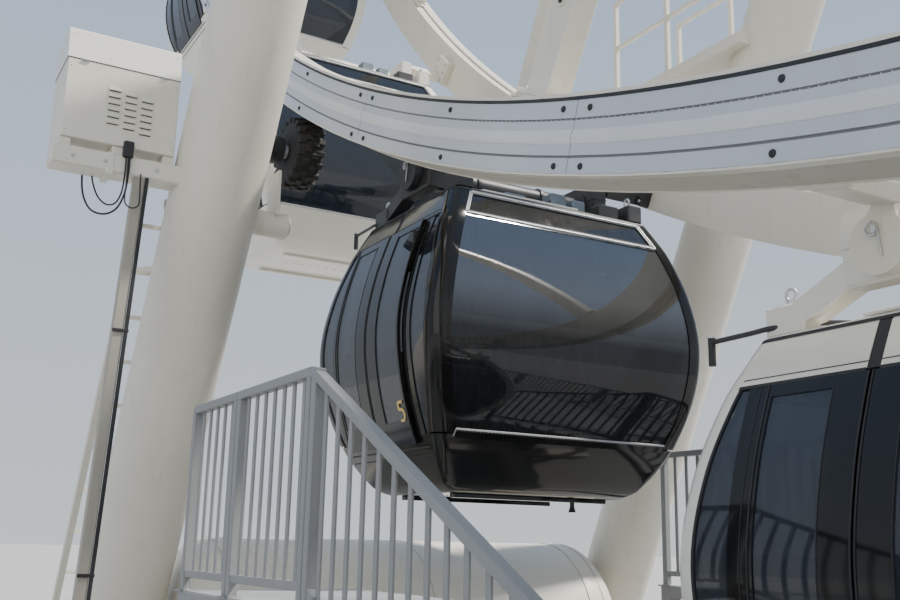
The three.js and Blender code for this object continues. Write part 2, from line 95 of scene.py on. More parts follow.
# materials
class Nodes:
    """A short way to write a shader tree; keys name a node's setting or socket, or its number as in0."""

    def __init__(self, name):
        self.mat = bpy.data.materials.new(name)
        self.mat.use_nodes = True
        self.tree = self.mat.node_tree
        self.bsdf = self.tree.nodes["Principled BSDF"]

    def add(self, kind, **sockets):
        node = self.tree.nodes.new(kind)
        for key, value in sockets.items():
            self.put(node, key, value)
        return node

    def put(self, node, key, value):
        if hasattr(node, key) and key not in node.inputs:
            setattr(node, key, value)
            return
        target = node.inputs[int(key[2:]) if key[:2] == "in" else key]
        if isinstance(value, bpy.types.NodeSocket):
            self.tree.links.new(value, target)
        elif target.type == "RGBA":
            target.default_value = (*value[:3], 1)
        else:
            target.default_value = value

    def look(self, **sockets):
        """Sets the surface's own sockets; an underscore stands for a space."""
        for key, value in sockets.items():
            self.put(self.bsdf, key.replace("_", " "), value)

    def coords(self, scale=(1, 1, 1)):
        at = self.add("ShaderNodeTexCoord").outputs["Object"]
        return self.add("ShaderNodeMapping", Vector=at, Scale=scale).outputs["Vector"]

    def noise(self, vector, scale, detail=4.0, rough=0.55):
        node = self.add("ShaderNodeTexNoise", Vector=vector, Scale=scale, Detail=detail, Roughness=rough)
        return node.outputs["Fac"]

    def ramp(self, fac, stops):
        node = self.add("ShaderNodeValToRGB", Fac=fac)
        band = node.color_ramp
        while len(band.elements) < len(stops):
            band.elements.new(0.5)
        for element, (place, colour) in zip(band.elements, stops):
            element.position = place
            element.color = (*colour, 1)
        return node.outputs["Color"]

    def span(self, fac, low, high, lo=0.0, hi=1.0):
        node = self.add("ShaderNodeMapRange", in0=fac, in1=lo, in2=hi, in3=low, in4=high)
        return node.outputs["Result"]

    def mix(self, fac, a, b):
        return self.add("ShaderNodeMix", data_type="RGBA", in0=fac, in6=a, in7=b).outputs[2]

    def bump(self, height, strength, distance):
        node = self.add("ShaderNodeBump", Height=height, Strength=strength, Distance=distance)
        self.look(Normal=node.outputs["Normal"])


def painted(name, colour, dirt, rough, grime=0.35, coat=0.0, peel=0.15):
    """Sprayed steel: soft mottling, faint runs of grime and a fine orange peel."""
    n = Nodes(name)
    wide = n.noise(n.coords(), 0.9, 5)
    fine = n.noise(n.coords(), 14, 6)
    runs = n.noise(n.coords((5, 5, 0.35)), 2.2, 6, 0.65)
    pale = tuple(min(1, c * 1.05) for c in colour)
    dark = tuple(c * 0.93 for c in colour)
    base = n.ramp(wide, ((0.3, dark), (0.7, pale)))
    mask = n.span(runs, 0.0, grime, 0.55, 0.85)
    n.look(Base_Color=n.mix(mask, base, dirt), Roughness=n.span(fine, rough - 0.06, rough + 0.12))
    n.look(Coat_Weight=coat, Coat_Roughness=0.12)
    n.bump(n.noise(n.coords(), 220, 2), peel, 0.0006)
    return n.mat


def glossy(name, colour, rough, wave=0.25, coat=1.0, shine=0.5):
    """Lacquered panel: deep gloss with a slow waviness and a film of dust."""
    n = Nodes(name)
    dust = n.noise(n.coords((1, 1, 0.6)), 3.5, 7, 0.6)
    grey = tuple(min(1, c * 1.05 + 0.012) for c in colour)
    n.look(Base_Color=n.ramp(dust, ((0.45, colour), (0.9, grey))), Specular_IOR_Level=shine)
    n.look(Roughness=n.span(dust, rough, rough + 0.09, 0.3, 0.9))
    n.look(Coat_Weight=coat, Coat_Roughness=0.03)
    n.bump(n.noise(n.coords(), 1.8, 2), wave, 0.006)
    return n.mat


def glazing(name, colour, alpha, film=None):
    """Tinted pane with faint rain marks; below the height film it is backed in black."""
    n = Nodes(name)
    marks = n.noise(n.coords((3, 3, 0.7)), 5, 7, 0.65)
    n.look(Base_Color=n.ramp(marks, ((0.4, colour), (0.95, tuple(c * 1.8 for c in colour)))))
    n.look(Roughness=n.span(marks, 0.02, 0.1, 0.4, 0.9))
    clear = n.span(marks, alpha - 0.02, alpha + 0.05, 0.3, 0.8)
    n.look(Coat_Weight=0.4, Coat_Roughness=0.02)
    if film is not None:
        height = n.add("ShaderNodeSeparateXYZ", Vector=n.coords()).outputs["Z"]
        backed = n.span(height, 1.0, 0.0, film - 0.02, film + 0.02)
        clear = n.add("ShaderNodeMath", operation="MAXIMUM", in0=clear, in1=backed).outputs[0]
        fade = (film - 0.10, film + 0.25)
        n.look(Coat_Weight=n.span(height, 0.1, 1.0, *fade), Coat_IOR=2.2)
        n.look(Specular_IOR_Level=n.span(height, 0.2, 1.0, *fade))
    n.look(Alpha=clear)
    n.bump(n.noise(n.coords(), 1.4, 1), 0.12, 0.004)
    return n.mat


def metal(name, colour, rough, scale=60.0):
    """Bare or galvanised metal with crystal patches and fine scratches."""
    n = Nodes(name)
    cells = n.add("ShaderNodeTexVoronoi", Vector=n.coords(), Scale=scale)
    patch = n.noise(n.coords(), 2.5, 5)
    dark = tuple(c * 0.86 for c in colour)
    base = n.ramp(cells.outputs["Color"], ((0.1, dark), (0.9, colour)))
    n.look(Base_Color=n.mix(n.span(patch, 0, 0.5, 0.4, 0.8), base, dark))
    n.look(Roughness=n.span(patch, rough - 0.05, rough + 0.15), Metallic=0.75)
    n.bump(n.noise(n.coords((40, 40, 4)), 6, 4), 0.1, 0.0008)
    return n.mat


def dull(name, colour, rough, grain=180.0, depth=0.001):
    """Rubber, plastic or seat shell with a matt grain."""
    n = Nodes(name)
    patch = n.noise(n.coords(), 6, 6)
    lifted = tuple(c * 1.5 + 0.01 for c in colour)
    n.look(Base_Color=n.ramp(patch, ((0.3, colour), (0.8, lifted))))
    n.look(Roughness=n.span(patch, rough - 0.08, rough + 0.08))
    n.bump(n.noise(n.coords(), grain, 3), 0.35, depth)
    return n.mat


def treadplate(name, colour):
    """Painted decking with a raised anti-slip pattern and worn paths."""
    n = Nodes(name)
    flat = n.coords((1, 1, 0.01))
    checks = n.add("ShaderNodeTexVoronoi", feature="DISTANCE_TO_EDGE", Vector=flat, Scale=26)
    wear = n.noise(n.coords(), 1.3, 6)
    dark = tuple(c * 0.75 for c in colour)
    n.look(Base_Color=n.ramp(wear, ((0.35, dark), (0.7, colour))))
    n.look(Roughness=n.span(wear, 0.45, 0.75), Metallic=0.3)
    n.bump(checks.outputs["Distance"], 0.5, 0.003)
    return n.mat


CREAM = painted("cream_paint", (0.74, 0.70, 0.60), (0.42, 0.37, 0.28), 0.36, 0.35)
WHITE = painted("white_paint", (0.78, 0.765, 0.71), (0.52, 0.48, 0.40), 0.32, 0.25, 0.3)
# ring cladding: its paler own colour darkened to a blue-grey painted shade
CLAD_PAINTED_SHADE = painted("ring_cladding", (0.53, 0.56, 0.60), (0.40, 0.40, 0.40), 0.3, 0.25, 0.25)
# ring band: a lighter copy of the cladding colour, a painted highlight from the sky on its crown
BAND_PAINTED_HIGHLIGHT = painted("ring_band_painted_highlight", (0.68, 0.69, 0.69), (0.50, 0.50, 0.48), 0.28, 0.25, 0.25)
GROOVE = painted("groove_paint", (0.20, 0.205, 0.205), (0.14, 0.13, 0.12), 0.5, 0.4)
# darker cream with heavy grime runs: real grime, and painted shade of the ring's underside in its darker
# base
CREAM_GRIME_AND_SHADE = painted("under_grime_and_painted_shade", (0.55, 0.52, 0.44), (0.30, 0.25, 0.18), 0.5, 0.7)
GREY = painted("grey_steel", (0.25, 0.255, 0.255), (0.18, 0.175, 0.16), 0.42, 0.3)
ZINC = metal("zinc", (0.62, 0.64, 0.66), 0.38)
SILVER = metal("bright_trim", (0.38, 0.385, 0.39), 0.36, 120)
BLACK = glossy("black_gloss", (0.005, 0.005, 0.005), 0.05, 0.25, 0.15, 0.28)
CABWHITE = glossy("cabin_cream", (0.76, 0.735, 0.65), 0.2, 0.1, 0.5)
GLASS = glazing("tinted_glass", (0.018, 0.024, 0.034), 0.70)
DARKGLASS = glazing("dark_glass", (0.008, 0.009, 0.011), 0.90)
FILM = glazing("filmed_glass", (0.008, 0.009, 0.011), 0.72, FILM_Z)
POST = painted("post_paint", (0.36, 0.335, 0.28), (0.17, 0.15, 0.12), 0.5, 0.55)
GASKET = dull("gasket", (0.012, 0.012, 0.013), 0.55)
RUBBER = dull("tyre_rubber", (0.018, 0.017, 0.016), 0.8, 90, 0.002)
PLASTIC = dull("black_plastic", (0.02, 0.021, 0.023), 0.45)
SEAT = dull("seat_shell", (0.10, 0.11, 0.13), 0.5)
BLUEGREY = dull("control_box", (0.10, 0.13, 0.16), 0.5)
GOLD = metal("gold_film", (0.80, 0.60, 0.22), 0.35)
LED = dull("led_dots", (0.75, 0.75, 0.72), 0.35)
DECK = treadplate("deck_plate", (0.40, 0.42, 0.43))


# mesh making
CREASE = 32


class Kit:
    """Collects closed shapes into one mesh, each with its own material."""

    def __init__(self, name):
        self.name = name
        self.verts, self.faces, self.slots = [], [], []
        self.mats = []
        self.turn = Matrix.Identity(4)

    def put(self, verts, faces, mat):
        if mat not in self.mats:
            self.mats.append(mat)
        base = len(self.verts)
        self.verts += [self.turn @ Vector(v) for v in verts]
        self.faces += [tuple(base + i for i in f) for f in faces]
        self.slots += [self.mats.index(mat)] * len(faces)

    def box(self, lo, hi, mat, edge=0.004, m=None):
        """A box between any two opposite corners, with chamfered edges; m places it."""
        mid = [(a + b) / 2 for a, b in zip(lo, hi)]
        half = [abs(b - a) / 2 for a, b in zip(lo, hi)]
        c = min(edge, *(h * 0.45 for h in half))
        signs = [(x, y, z) for x in (-1, 1) for y in (-1, 1) for z in (-1, 1)]
        verts, ids, faces = [], {}, []
        for s in signs:
            for axis in range(3):
                p = [mid[i] + s[i] * (half[i] - (0 if i == axis else c)) for i in range(3)]
                ids[s, axis] = len(verts)
                verts.append(m @ Vector(p) if m else p)

        def face(keys, flip):
            loop = [ids[key] for key in keys]
            faces.append(loop[::-1] if flip else loop)

        def corner(axis, d, a, b):
            """The corner at side d of one axis and at sides a and b of the other two."""
            s = [a, b]
            s.insert(axis, d)
            return tuple(s)

        square = ((-1, -1), (1, -1), (1, 1), (-1, 1))
        for axis in range(3):
            u, v = [i for i in range(3) if i != axis]
            for d in (-1, 1):
                face([(corner(axis, d, a, b), axis) for a, b in square], (d > 0) == (axis == 1))
            for a, b in square:
                p, q = corner(axis, -1, a, b), corner(axis, 1, a, b)
                face([(p, u), (q, u), (q, v), (p, v)], (a * b > 0) == (axis != 1))
        for s in signs:
            face([(s, axis) for axis in range(3)], s[0] * s[1] * s[2] < 0)
        self.put(verts, faces, mat)

    def loft(self, loops, mat, wrap=False, flip=False):
        """Skins equal closed loops one after another, with caps unless the last meets the first."""
        n, rows = len(loops[0]), len(loops)
        verts = [p for loop in loops for p in loop]
        faces = []
        for i in range(rows if wrap else rows - 1):
            j = (i + 1) % rows
            for k in range(n):
                m = (k + 1) % n
                faces.append((i * n + k, i * n + m, j * n + m, j * n + k))
        if not wrap:
            faces.append(tuple(range(n))[::-1])
            faces.append(tuple((rows - 1) * n + k for k in range(n)))
        self.put(verts, [f[::-1] for f in faces] if flip else faces, mat)

    def tube(self, points, radius, mat, sides=12, closed=False):
        """A round bar along points; radius is one number or one for each point."""
        pts = [Vector(p) for p in points]
        count = len(pts)
        radii = radius if isinstance(radius, (list, tuple)) else [radius] * count
        turns = [tau * k / sides for k in range(sides)]
        loops, side = [], None
        for i, p in enumerate(pts):
            before = pts[i - 1] if closed or i else p
            after = pts[(i + 1) % count] if closed or i + 1 < count else p
            along = (after - before).normalized()
            if side is None:
                pick = Vector((0, 0, 1)) if abs(along.z) < 0.9 else Vector((1, 0, 0))
                side = along.cross(pick)
            side = (side - along * side.dot(along)).normalized()
            other = along.cross(side)
            loops.append([p + (side * cos(t) + other * sin(t)) * radii[i] for t in turns])
        self.loft(loops, mat, wrap=closed)

    def spin(self, at, along, profile, mat, sides):
        """A turned body; its profile gives the radius at each distance from at."""
        at, along = Vector(at), Vector(along).normalized()
        self.tube([at + along * d for d, _ in profile], [r for _, r in profile], mat, sides)

    def disc(self, x, z, y0, y1, radius, mat, sides):
        """A plain round disc or pin on a line along Y."""
        self.spin((x, 0, z), (0, 1, 0), ((y0, radius), (y1, radius)), mat, sides)

    def beam(self, a, b, width, height, mat, across=(0, 1, 0), edge=0.004):
        """A rectangular bar from a to b; its width runs along across."""
        a, b = Vector(a), Vector(b)
        along = (b - a).normalized()
        side = Vector(across)
        side = (side - along * side.dot(along)).normalized()
        up = along.cross(side)
        m = Matrix((side, up, along)).transposed().to_4x4()
        m.translation = (a + b) / 2
        half = (b - a).length / 2
        self.box((-width / 2, -height / 2, -half), (width / 2, height / 2, half), mat, edge, m)

    def prism(self, outline, a, b, mat, axes="xz"):
        """A simple outline pushed along the third axis from a to b."""
        u, v = ("xyz".index(letter) for letter in axes)
        w = 3 - u - v
        loops = []
        for depth in (a, b):
            loop = [[0, 0, 0] for _ in outline]
            for spot, p in zip(loop, outline):
                spot[u], spot[v], spot[w] = p[0], p[1], depth
            loops.append(loop)
        area = sum(p[0] * q[1] - q[0] * p[1] for p, q in zip(outline, outline[1:] + outline[:1]))
        even = (u, v) in ((0, 1), (1, 2), (2, 0))
        self.loft(loops, mat, flip=((area > 0) != even) != (b < a))

    def sweep(self, section, mat, steps=360, start=0.0, end=360.0):
        """A closed section of (radius, y) turned about the wheel's axis."""
        full = abs(end - start) >= 359.99
        loops = []
        for i in range(steps if full else steps + 1):
            deg = start + (end - start) * i / steps
            loops.append([on_wheel(r, deg, y) for r, y in section])
        self.loft(loops, mat, wrap=full)

    def bolt(self, at, along, radius, height, mat):
        """A bolt head: a low hexagon with a chamfer, standing on a surface."""
        profile = ((-0.002, radius), (height * 0.7, radius), (height, radius * 0.72))
        self.spin(at, along, profile, mat, 6)

    def dome(self, at, along, radius, height, mat):
        """A domed bolt head."""
        rise = ((-0.15, 1.0), (0.35, 1.0), (0.75, 0.78), (1.0, 0.4))
        self.spin(at, along, [(h * height, r * radius) for h, r in rise], mat, 10)

    def bolt_ring(self, centre, reach, count, side, radius, height, mat):
        """Bolts in a circle about an axis along Y, all pointing to one side."""
        for i in range(count):
            t = tau * i / count
            at = Vector(centre) + Vector((cos(t), 0, sin(t))) * reach
            self.bolt(at, (0, side, 0), radius, height, mat)

    def stud(self, at, along, radius, height, mat):
        """A tiny four-sided stud that points along X or Y."""
        at, along, up = Vector(at), Vector(along), Vector((0, 0, 1))
        across = up.cross(along)
        rim = [at + (across * a + up * b) * radius for a, b in ((-1, 0), (0, -1), (1, 0), (0, 1))]
        faces = [(0, 1, 4), (1, 2, 4), (2, 3, 4), (3, 0, 4), (3, 2, 1, 0)]
        self.put(rim + [at + along * height], faces, mat)

    def mesh(self):
        data = bpy.data.meshes.new(self.name)
        data.from_pydata([tuple(v) for v in self.verts], [], self.faces)
        for mat in self.mats:
            data.materials.append(mat)
        data.polygons.foreach_set("material_index", self.slots)
        data.polygons.foreach_set("use_smooth", [True] * len(self.faces))
        data.validate()
        data.set_sharp_from_angle(angle=radians(CREASE))
        data.update()
        return data

    def done(self, body, slot, *nodes):
        show(self.name, self.mesh(), body, slot, *nodes)


def show(name, mesh, body, slot, *nodes, at=None):
    """Puts a mesh in the scene on a body and hides the nodes it stands for; its finish slot is not used."""
    obj = bpy.data.objects.new(name, mesh)
    bpy.context.scene.collection.objects.link(obj)
    if at is not None:
        obj.location = at
    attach(obj, body)
    if nodes:
        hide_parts(*nodes)


def smooth(points, steps):
    """Points on a smooth curve through the given ones (Catmull-Rom)."""
    pts = [Vector(p) for p in points]
    out = []
    for i in range(len(pts) - 1):
        p0 = pts[max(i - 1, 0)]
        p1, p2 = pts[i], pts[i + 1]
        p3 = pts[min(i + 2, len(pts) - 1)]
        for k in range(steps):
            t = k / steps
            out.append(
                0.5 * ((2 * p1) + (p2 - p0) * t + (2 * p0 - 5 * p1 + 4 * p2 - p3) * t * t
                       + (3 * p1 - p0 - 3 * p2 + p3) * t ** 3)
            )
    out.append(pts[-1])
    return out


def mirrored(half, middle=()):
    """A profile with its mirror image at the other side of the middle."""
    return [(-d, r) for d, r in reversed(half)] + list(middle) + half


def loop_cord(name, points, diameter):
    """A hanging cable drawn as one open curve from the gland back into the object."""
    data = bpy.data.curves.new(name, "CURVE")
    data.dimensions = "3D"
    data.bevel_depth = diameter / 2
    data.bevel_resolution = 4
    data.use_fill_caps = True
    line = data.splines.new("POLY")
    spots = smooth(points, 4)
    line.points.add(len(spots) - 1)
    for knot, spot in zip(line.points, spots):
        knot.co = (*spot, 1)
    data.materials.append(GASKET)
    obj = bpy.data.objects.new(name, data)
    bpy.context.scene.collection.objects.link(obj)
    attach(obj, "base")


GLAND = Vector((HOUSE_X1 + 0.022, -3.13, HOUSE_Z - 0.08))
LOOPS = (
    ("loop_cable_long", 0.014, (
        (0, 0.012, 0), (0.002, 0.012, -0.12), (0.002, -0.002, -0.27), (-0.01, -0.045, -0.385),
        (-0.04, -0.12, -0.43), (-0.09, -0.20, -0.40), (-0.15, -0.245, -0.30), (-0.20, -0.26, -0.17),
        (-0.24, -0.255, -0.02), (-0.25, -0.25, 0.08),
    )),
    ("loop_cable_short", 0.012, (
        (0, -0.012, 0), (0.002, -0.012, -0.12), (0.002, -0.022, -0.26), (-0.01, -0.055, -0.345),
        (-0.05, -0.105, -0.355), (-0.10, -0.155, -0.30), (-0.16, -0.185, -0.20), (-0.21, -0.20, -0.08),
        (-0.25, -0.20, 0.08),
    )),
    ("loop_cable_post", 0.010, (
        (0.012, 0.0, 0), (0.015, 0.0, -0.11), (0.017, 0.0, -0.22), (0.018, 0.0, -0.32),
        (0.018, 0.015, -0.356), (0.018, 0.051, -0.371), (0.017, 0.087, -0.356), (0.014, 0.102, -0.32),
        (-0.002, 0.102, -0.21), (-0.016, 0.102, -0.10),
    )),
)
for name, thick, route in LOOPS:
    loop_cord(name, [GLAND + Vector(step) for step in route], thick)


# rings
AXLE_R = 0.09
PLATE_R, PLATE_Y = 0.145, 0.955
ARM_Y, ARM_Z, ARM_TOP = 1.30, 0.155, 0.24
CLAD_PANELS = 40
CLAD_JOINT = -17.55
CLAD_BACK = 0.013
CLAD_GAP_DEG = 0.012
BOLT_FROM_JOINT_DEG = 0.37
LIGHT_DOTS = 2400
GROOVES = (RING_IN + 0.101, RING_IN + 0.292)
BAND_IN, BAND_OUT = RING_IN + 0.156, RING_IN + 0.226


def ring_side(side):
    """One clad ring: girder, cladding with joints and light strips, bolts, arms and axles."""
    kit = Kit(FACE[side] + "_ring_cladding")
    y = RING_Y1

    def turned(section):
        """Keeps faces outward on the mirrored side."""
        flipped = [(r, side * d) for r, d in section]
        return flipped if side > 0 else flipped[::-1]

    def strip(r0, r1, lift, mat, start, end, crown=0.0):
        """One run of cladding between two radii."""
        face = [(r0, y + lift), ((r0 + r1) / 2, y + lift + crown), (r1, y + lift)]
        section = face[::-1] + [(r0, y - CLAD_BACK), (r1, y - CLAD_BACK)]
        kit.sweep(turned(section), mat, 9, start, end)

    def hoop(r0, r1, y0, y1, mat):
        """One ring of rectangular section."""
        kit.sweep(turned([(r0, y0), (r1, y0), (r1, y1), (r0, y1)]), mat)

    core = y - CLAD_BACK - 0.001
    # the girder in the darker cream: grime plus the underside's painted shade
    girder = [(RING_IN, RING_Y0), (RING_OUT, RING_Y0), (RING_FACE + 0.002, core), (RING_IN - 0.004, core)]
    kit.sweep(turned(girder), CREAM_GRIME_AND_SHADE)
    lip = [(RING_FACE - 0.004, core - 0.05), (RING_FACE + 0.014, core - 0.05),
           (RING_FACE + 0.012, y - 0.001), (RING_FACE + 0.001, y - 0.001)]
    kit.sweep(turned(lip), CREAM)
    keel = [(RING_OUT - 0.03, RING_Y0 - 0.004), (RING_OUT + 0.004, RING_Y0 - 0.004),
            (RING_OUT + 0.006, RING_Y0 + 0.012), (RING_OUT - 0.03, RING_Y0 + 0.012)]
    kit.sweep(turned(keel), CREAM)
    hoop(RING_IN - 0.004, RING_OUT - 0.002, RING_Y0 - 0.003, RING_Y0, CREAM)
    hoop(RING_IN - 0.007, RING_IN - 0.001, RING_Y0 - 0.002, core, CREAM)
    hoop(RING_IN - 0.014, RING_IN + 0.003, y - 0.02, y + 0.004, GASKET)
    hoop(RING_IN - 0.034, RING_IN - 0.013, y - 0.12, y + 0.002, CREAM)
    span = 360 / CLAD_PANELS
    flats = ((RING_IN + 0.004, GROOVES[0] - 0.006), (GROOVES[0] + 0.006, BAND_IN),
             (BAND_OUT, GROOVES[1] - 0.007), (GROOVES[1] + 0.007, RING_FACE))
    for k in range(CLAD_PANELS):
        start = CLAD_JOINT + span * k + CLAD_GAP_DEG
        end = CLAD_JOINT + span * (k + 1) - CLAD_GAP_DEG
        # flats in the cladding's blue-grey painted shade
        for r0, r1 in flats:
            strip(r0, r1, 0.0, CLAD_PAINTED_SHADE, start, end)
        # the crowned middle band, coloured lighter as a painted highlight
        strip(BAND_IN, BAND_OUT, 0.002, BAND_PAINTED_HIGHLIGHT, start, end, 0.008)
        for r in GROOVES:
            strip(r - 0.0065, r + 0.0065, -0.008, GROOVE, start, end)
        for r in (RING_IN + 0.047, RING_FACE - 0.037):
            for deg in (start + BOLT_FROM_JOINT_DEG, end - BOLT_FROM_JOINT_DEG, (start + end) / 2):
                kit.dome(on_wheel(r, deg, side * y), (0, side, 0), 0.0175, 0.013, GASKET)
    for k in range(LIGHT_DOTS):
        deg = 360 * k / LIGHT_DOTS
        kit.stud(on_wheel(GROOVES[0], deg, side * (y - 0.0085)), (0, side, 0), 0.0042, 0.006, LED)
    # hanger arms and cross axles at each cabin
    for k in range(CABINS):
        deg = FEATURED_ANGLE + PITCH * k
        kit.turn = Matrix.Translation(on_wheel(PIVOT_R, deg)) @ Matrix.Rotation(-radians(deg), 4, "Y")
        hanger_arm(kit, side, PLASTIC if k == 0 else CREAM)
        kit.turn = Matrix.Identity(4)
    kit.done("wheel", "ring_cladding", FACE[side] + "_ring")


def hanger_arm(kit, side, paint):
    """Flange, arm, hanger plate and half the cross axle, about one pivot."""
    kit.box((-PLATE_R, side * ARM_Y, ARM_Z), (PLATE_R, side * (RING_Y0 - 0.001), 0.45), paint, 0.008)
    for x in (-0.115, 0.115):
        for z in (0.20, 0.30, 0.40):
            kit.bolt((x, side * ARM_Y, z), (0, -side, 0), 0.016, 0.014, ZINC)
    near, far = side * (PLATE_Y - 0.002), side * (ARM_Y + 0.002)
    kit.box((-0.09, near, ARM_Z), (0.09, far, ARM_TOP), paint, 0.006)
    flank = [(0.142, 0.03), (0.12, 0.075), (0.075, 0.11), (0.06, 0.14), (0.06, ARM_TOP)]
    arc = [pi * (1 + i / 14) for i in range(15)]
    rim = [(PLATE_R * cos(t), PLATE_R * sin(t)) for t in arc]
    rim += flank + [(-x, z) for x, z in reversed(flank)]
    kit.prism(rim, side * 0.900, side * PLATE_Y, paint)
    kit.disc(0, 0, 0, side * 0.956, AXLE_R, paint, 24)
    kit.disc(0, 0, side * 0.30, side * 0.33, AXLE_R + 0.012, paint, 24)
    kit.dome((0, side * PLATE_Y, 0.175), (0, side, 0), 0.016, 0.010, GASKET)
    # locking pin with its spring clip
    kit.disc(-0.01, 0.045, side * 0.95, side * 0.985, 0.015, ZINC, 10)
    clip = [(-0.035, side * 0.965, 0.085), (-0.060, side * 0.970, 0.055), (-0.035, side * 0.975, 0.020),
            (-0.005, side * 0.970, 0.035), (-0.015, side * 0.965, 0.075), (0.035, side * 0.962, -0.065)]
    kit.tube(smooth(clip, 5), 0.0055, ZINC, 6)


# spokes and hub
SPOKES = 12
SPOKE_Y = 1.515
SPLICE_R, FORK_R = 5.6, 11.2
FORK_SPREAD = 6.1
SPOKE_W, SPOKE_H = 0.16, 0.32
FORK_W, FORK_H = 0.15, 0.225


def spoke_side(side):
    """Tapered box spokes, forked, with bolted end plates."""
    kit = Kit(FACE[side] + "_spoke_frames")
    y = side * SPOKE_Y
    rows = [(0.44, -0.075), (0.90, -0.075), (0.90, 0.075), (0.44, 0.075)]
    kit.sweep([(r, y + d) for r, d in rows], CREAM, 64)
    for k in range(SPOKES):
        deg = FEATURED_ANGLE + PITCH + 360 / SPOKES * k
        a = radians(deg)
        tang = Vector((cos(a), 0, sin(a)))
        root, fork = on_wheel(0.8, deg, y), on_wheel(FORK_R, deg, y)
        kit.beam(root, fork, SPOKE_W, SPOKE_H, CREAM, edge=0.012)
        out = (fork - root).normalized()
        at = on_wheel(SPLICE_R, deg, y)
        for d in (-0.035, 0.012):
            near, far = at + out * d, at + out * (d + 0.022)
            kit.beam(near, far, SPOKE_W + 0.01, SPOKE_H + 0.08, CREAM, edge=0.003)
        for turn in (-1, 1):
            tip = on_wheel(RING_IN - 0.02, deg + turn * FORK_SPREAD, y)
            start = on_wheel(FORK_R - 0.15, deg, y) + tang * turn * 0.04
            kit.beam(start, tip, FORK_W, FORK_H, CREAM, edge=0.010)
            inward = (start - tip).normalized()
            across = inward.cross(Vector((0, 1, 0))).normalized()
            near, far = tip + inward * 0.03, tip + inward * 0.055
            kit.beam(near, far, FORK_W + 0.015, 0.42, CREAM, edge=0.004)
            for w in (-0.16, 0.16):
                for d in (-0.045, 0.045):
                    at = tip + inward * 0.055 + across * w + Vector((0, d, 0))
                    kit.bolt(at, inward, 0.016, 0.016, ZINC)
            for d in (0.55, 2.2):
                eye, outward = tip + inward * d, Vector((0, side, 0))
                kit.tube([eye + outward * 0.075, eye + outward * 0.087], 0.034, CREAM, 16)
                kit.tube([eye + outward * 0.087, eye + outward * 0.093], 0.016, GASKET, 12)
        web = [on_wheel(FORK_R + r, deg + turn) for r, turn in ((-0.35, 0), (0.55, -1.15), (0.55, 1.15))]
        for d in (-0.083, 0.068):
            kit.prism([(p.x, p.z) for p in web], y + d, y + d + 0.015, CREAM)
    kit.done("wheel", "cream_paint", FACE[side] + "_spokes")


for side in (-1, 1):
    ring_side(side)
for side in (-1, 1):
    spoke_side(side)


def make_hub():
    """The turned hub with its bearing covers and bolt circles."""
    kit = Kit("hub_drum")
    kit.turn = Matrix.Translation((0, 0, HUB_Z))
    half = [(1.31, 0.58), (1.33, 0.62), (1.43, 0.62), (1.43, 0.425), (1.70, 0.425), (1.70, 0.30),
            (2.30, 0.30), (2.315, 0.29)]
    kit.spin((0, 0, 0), (0, 1, 0), mirrored(half), CREAM, 48)
    for s in (-1, 1):
        kit.bolt_ring((0, s * 1.432, 0), 0.52, 16, s, 0.02, 0.02, ZINC)
        kit.disc(0, 0, s * 2.30, s * 2.32, 0.22, ZINC, 32)
        kit.bolt_ring((0, s * 2.32, 0), 0.17, 8, s, 0.016, 0.014, GASKET)
    kit.done("wheel", "cream_paint", "hub")


make_hub()

# cabins
ROOF_Z, FLOOR_Z = -0.300, -2.55
LEVELS = (
    (ROOF_Z, 0.720, 0.920), (-0.45, 0.798, 0.993), (-0.60, 0.868, 1.060), (-0.95, 0.965, 1.172),
    (-1.35, 1.005, 1.235), (-1.75, 0.965, 1.198), (-2.15, 0.832, 1.087), (-2.35, 0.725, 0.988),
    (FLOOR_Z, 0.585, 0.835),
)
CORNER = 0.085
SIDE_RIM, END_RIM = 0.12, 0.15
CEILING_Z, BAND_Z, TUB_Z = -0.345, -0.545, -2.17
STRIP_Z = -2.135
YOKE_Y, YOKE_HALF, YOKE_FOOT = 0.815, 0.066, 0.60
LEAF_X, STILE = 0.545, 0.165
POST_X = 0.665
STUDS = 60


def at_level(z, axis):
    """Half-width (axis 1) or half-depth (axis 2) of the barrel at a height below the pivot."""
    z = min(ROOF_Z, max(FLOOR_Z, z))
    last = len(LEVELS) - 1
    i = next(k for k in range(last) if z >= LEVELS[k + 1][0])
    a, b = LEVELS[i], LEVELS[i + 1]
    before, after = LEVELS[max(i - 1, 0)], LEVELS[min(i + 2, last)]
    run = a[0] - b[0]
    t = (a[0] - z) / run
    ma = (b[axis] - before[axis]) / (before[0] - b[0]) * run
    mb = (after[axis] - a[axis]) / (a[0] - after[0]) * run
    t2, t3 = t * t, t ** 3
    start = (2 * t3 - 3 * t2 + 1) * a[axis] + (t3 - 2 * t2 + t) * ma
    return start + (3 * t2 - 2 * t3) * b[axis] + (t3 - t2) * mb


def wide(z):
    return at_level(z, 1)


def deep(z):
    return at_level(z, 2)


def steps_between(z0, z1, size=0.07):
    """Heights from the lower to the upper one, close enough for a smooth curve."""
    low, high = min(z0, z1), max(z0, z1)
    count = max(1, ceil((high - low) / size))
    return [low + (high - low) * i / count for i in range(count + 1)]


def place(edge, z):
    """Where an edge runs at a height; it is a number or follows the height."""
    return edge(z) if callable(edge) else edge


def plan(z, inset=0.0, steps=5):
    """The cabin's rounded outline, seen from above, at a height."""
    x, y = wide(z) - inset, deep(z) - inset
    r = max(0.01, CORNER - inset * 0.5)
    pts = []
    for cx, cy, start in ((x - r, y - r, 0), (r - x, y - r, 90), (r - x, r - y, 180), (x - r, r - y, 270)):
        for i in range(steps + 1):
            t = radians(start + 90 * i / steps)
            pts.append((cx + r * cos(t), cy + r * sin(t), z))
    return pts


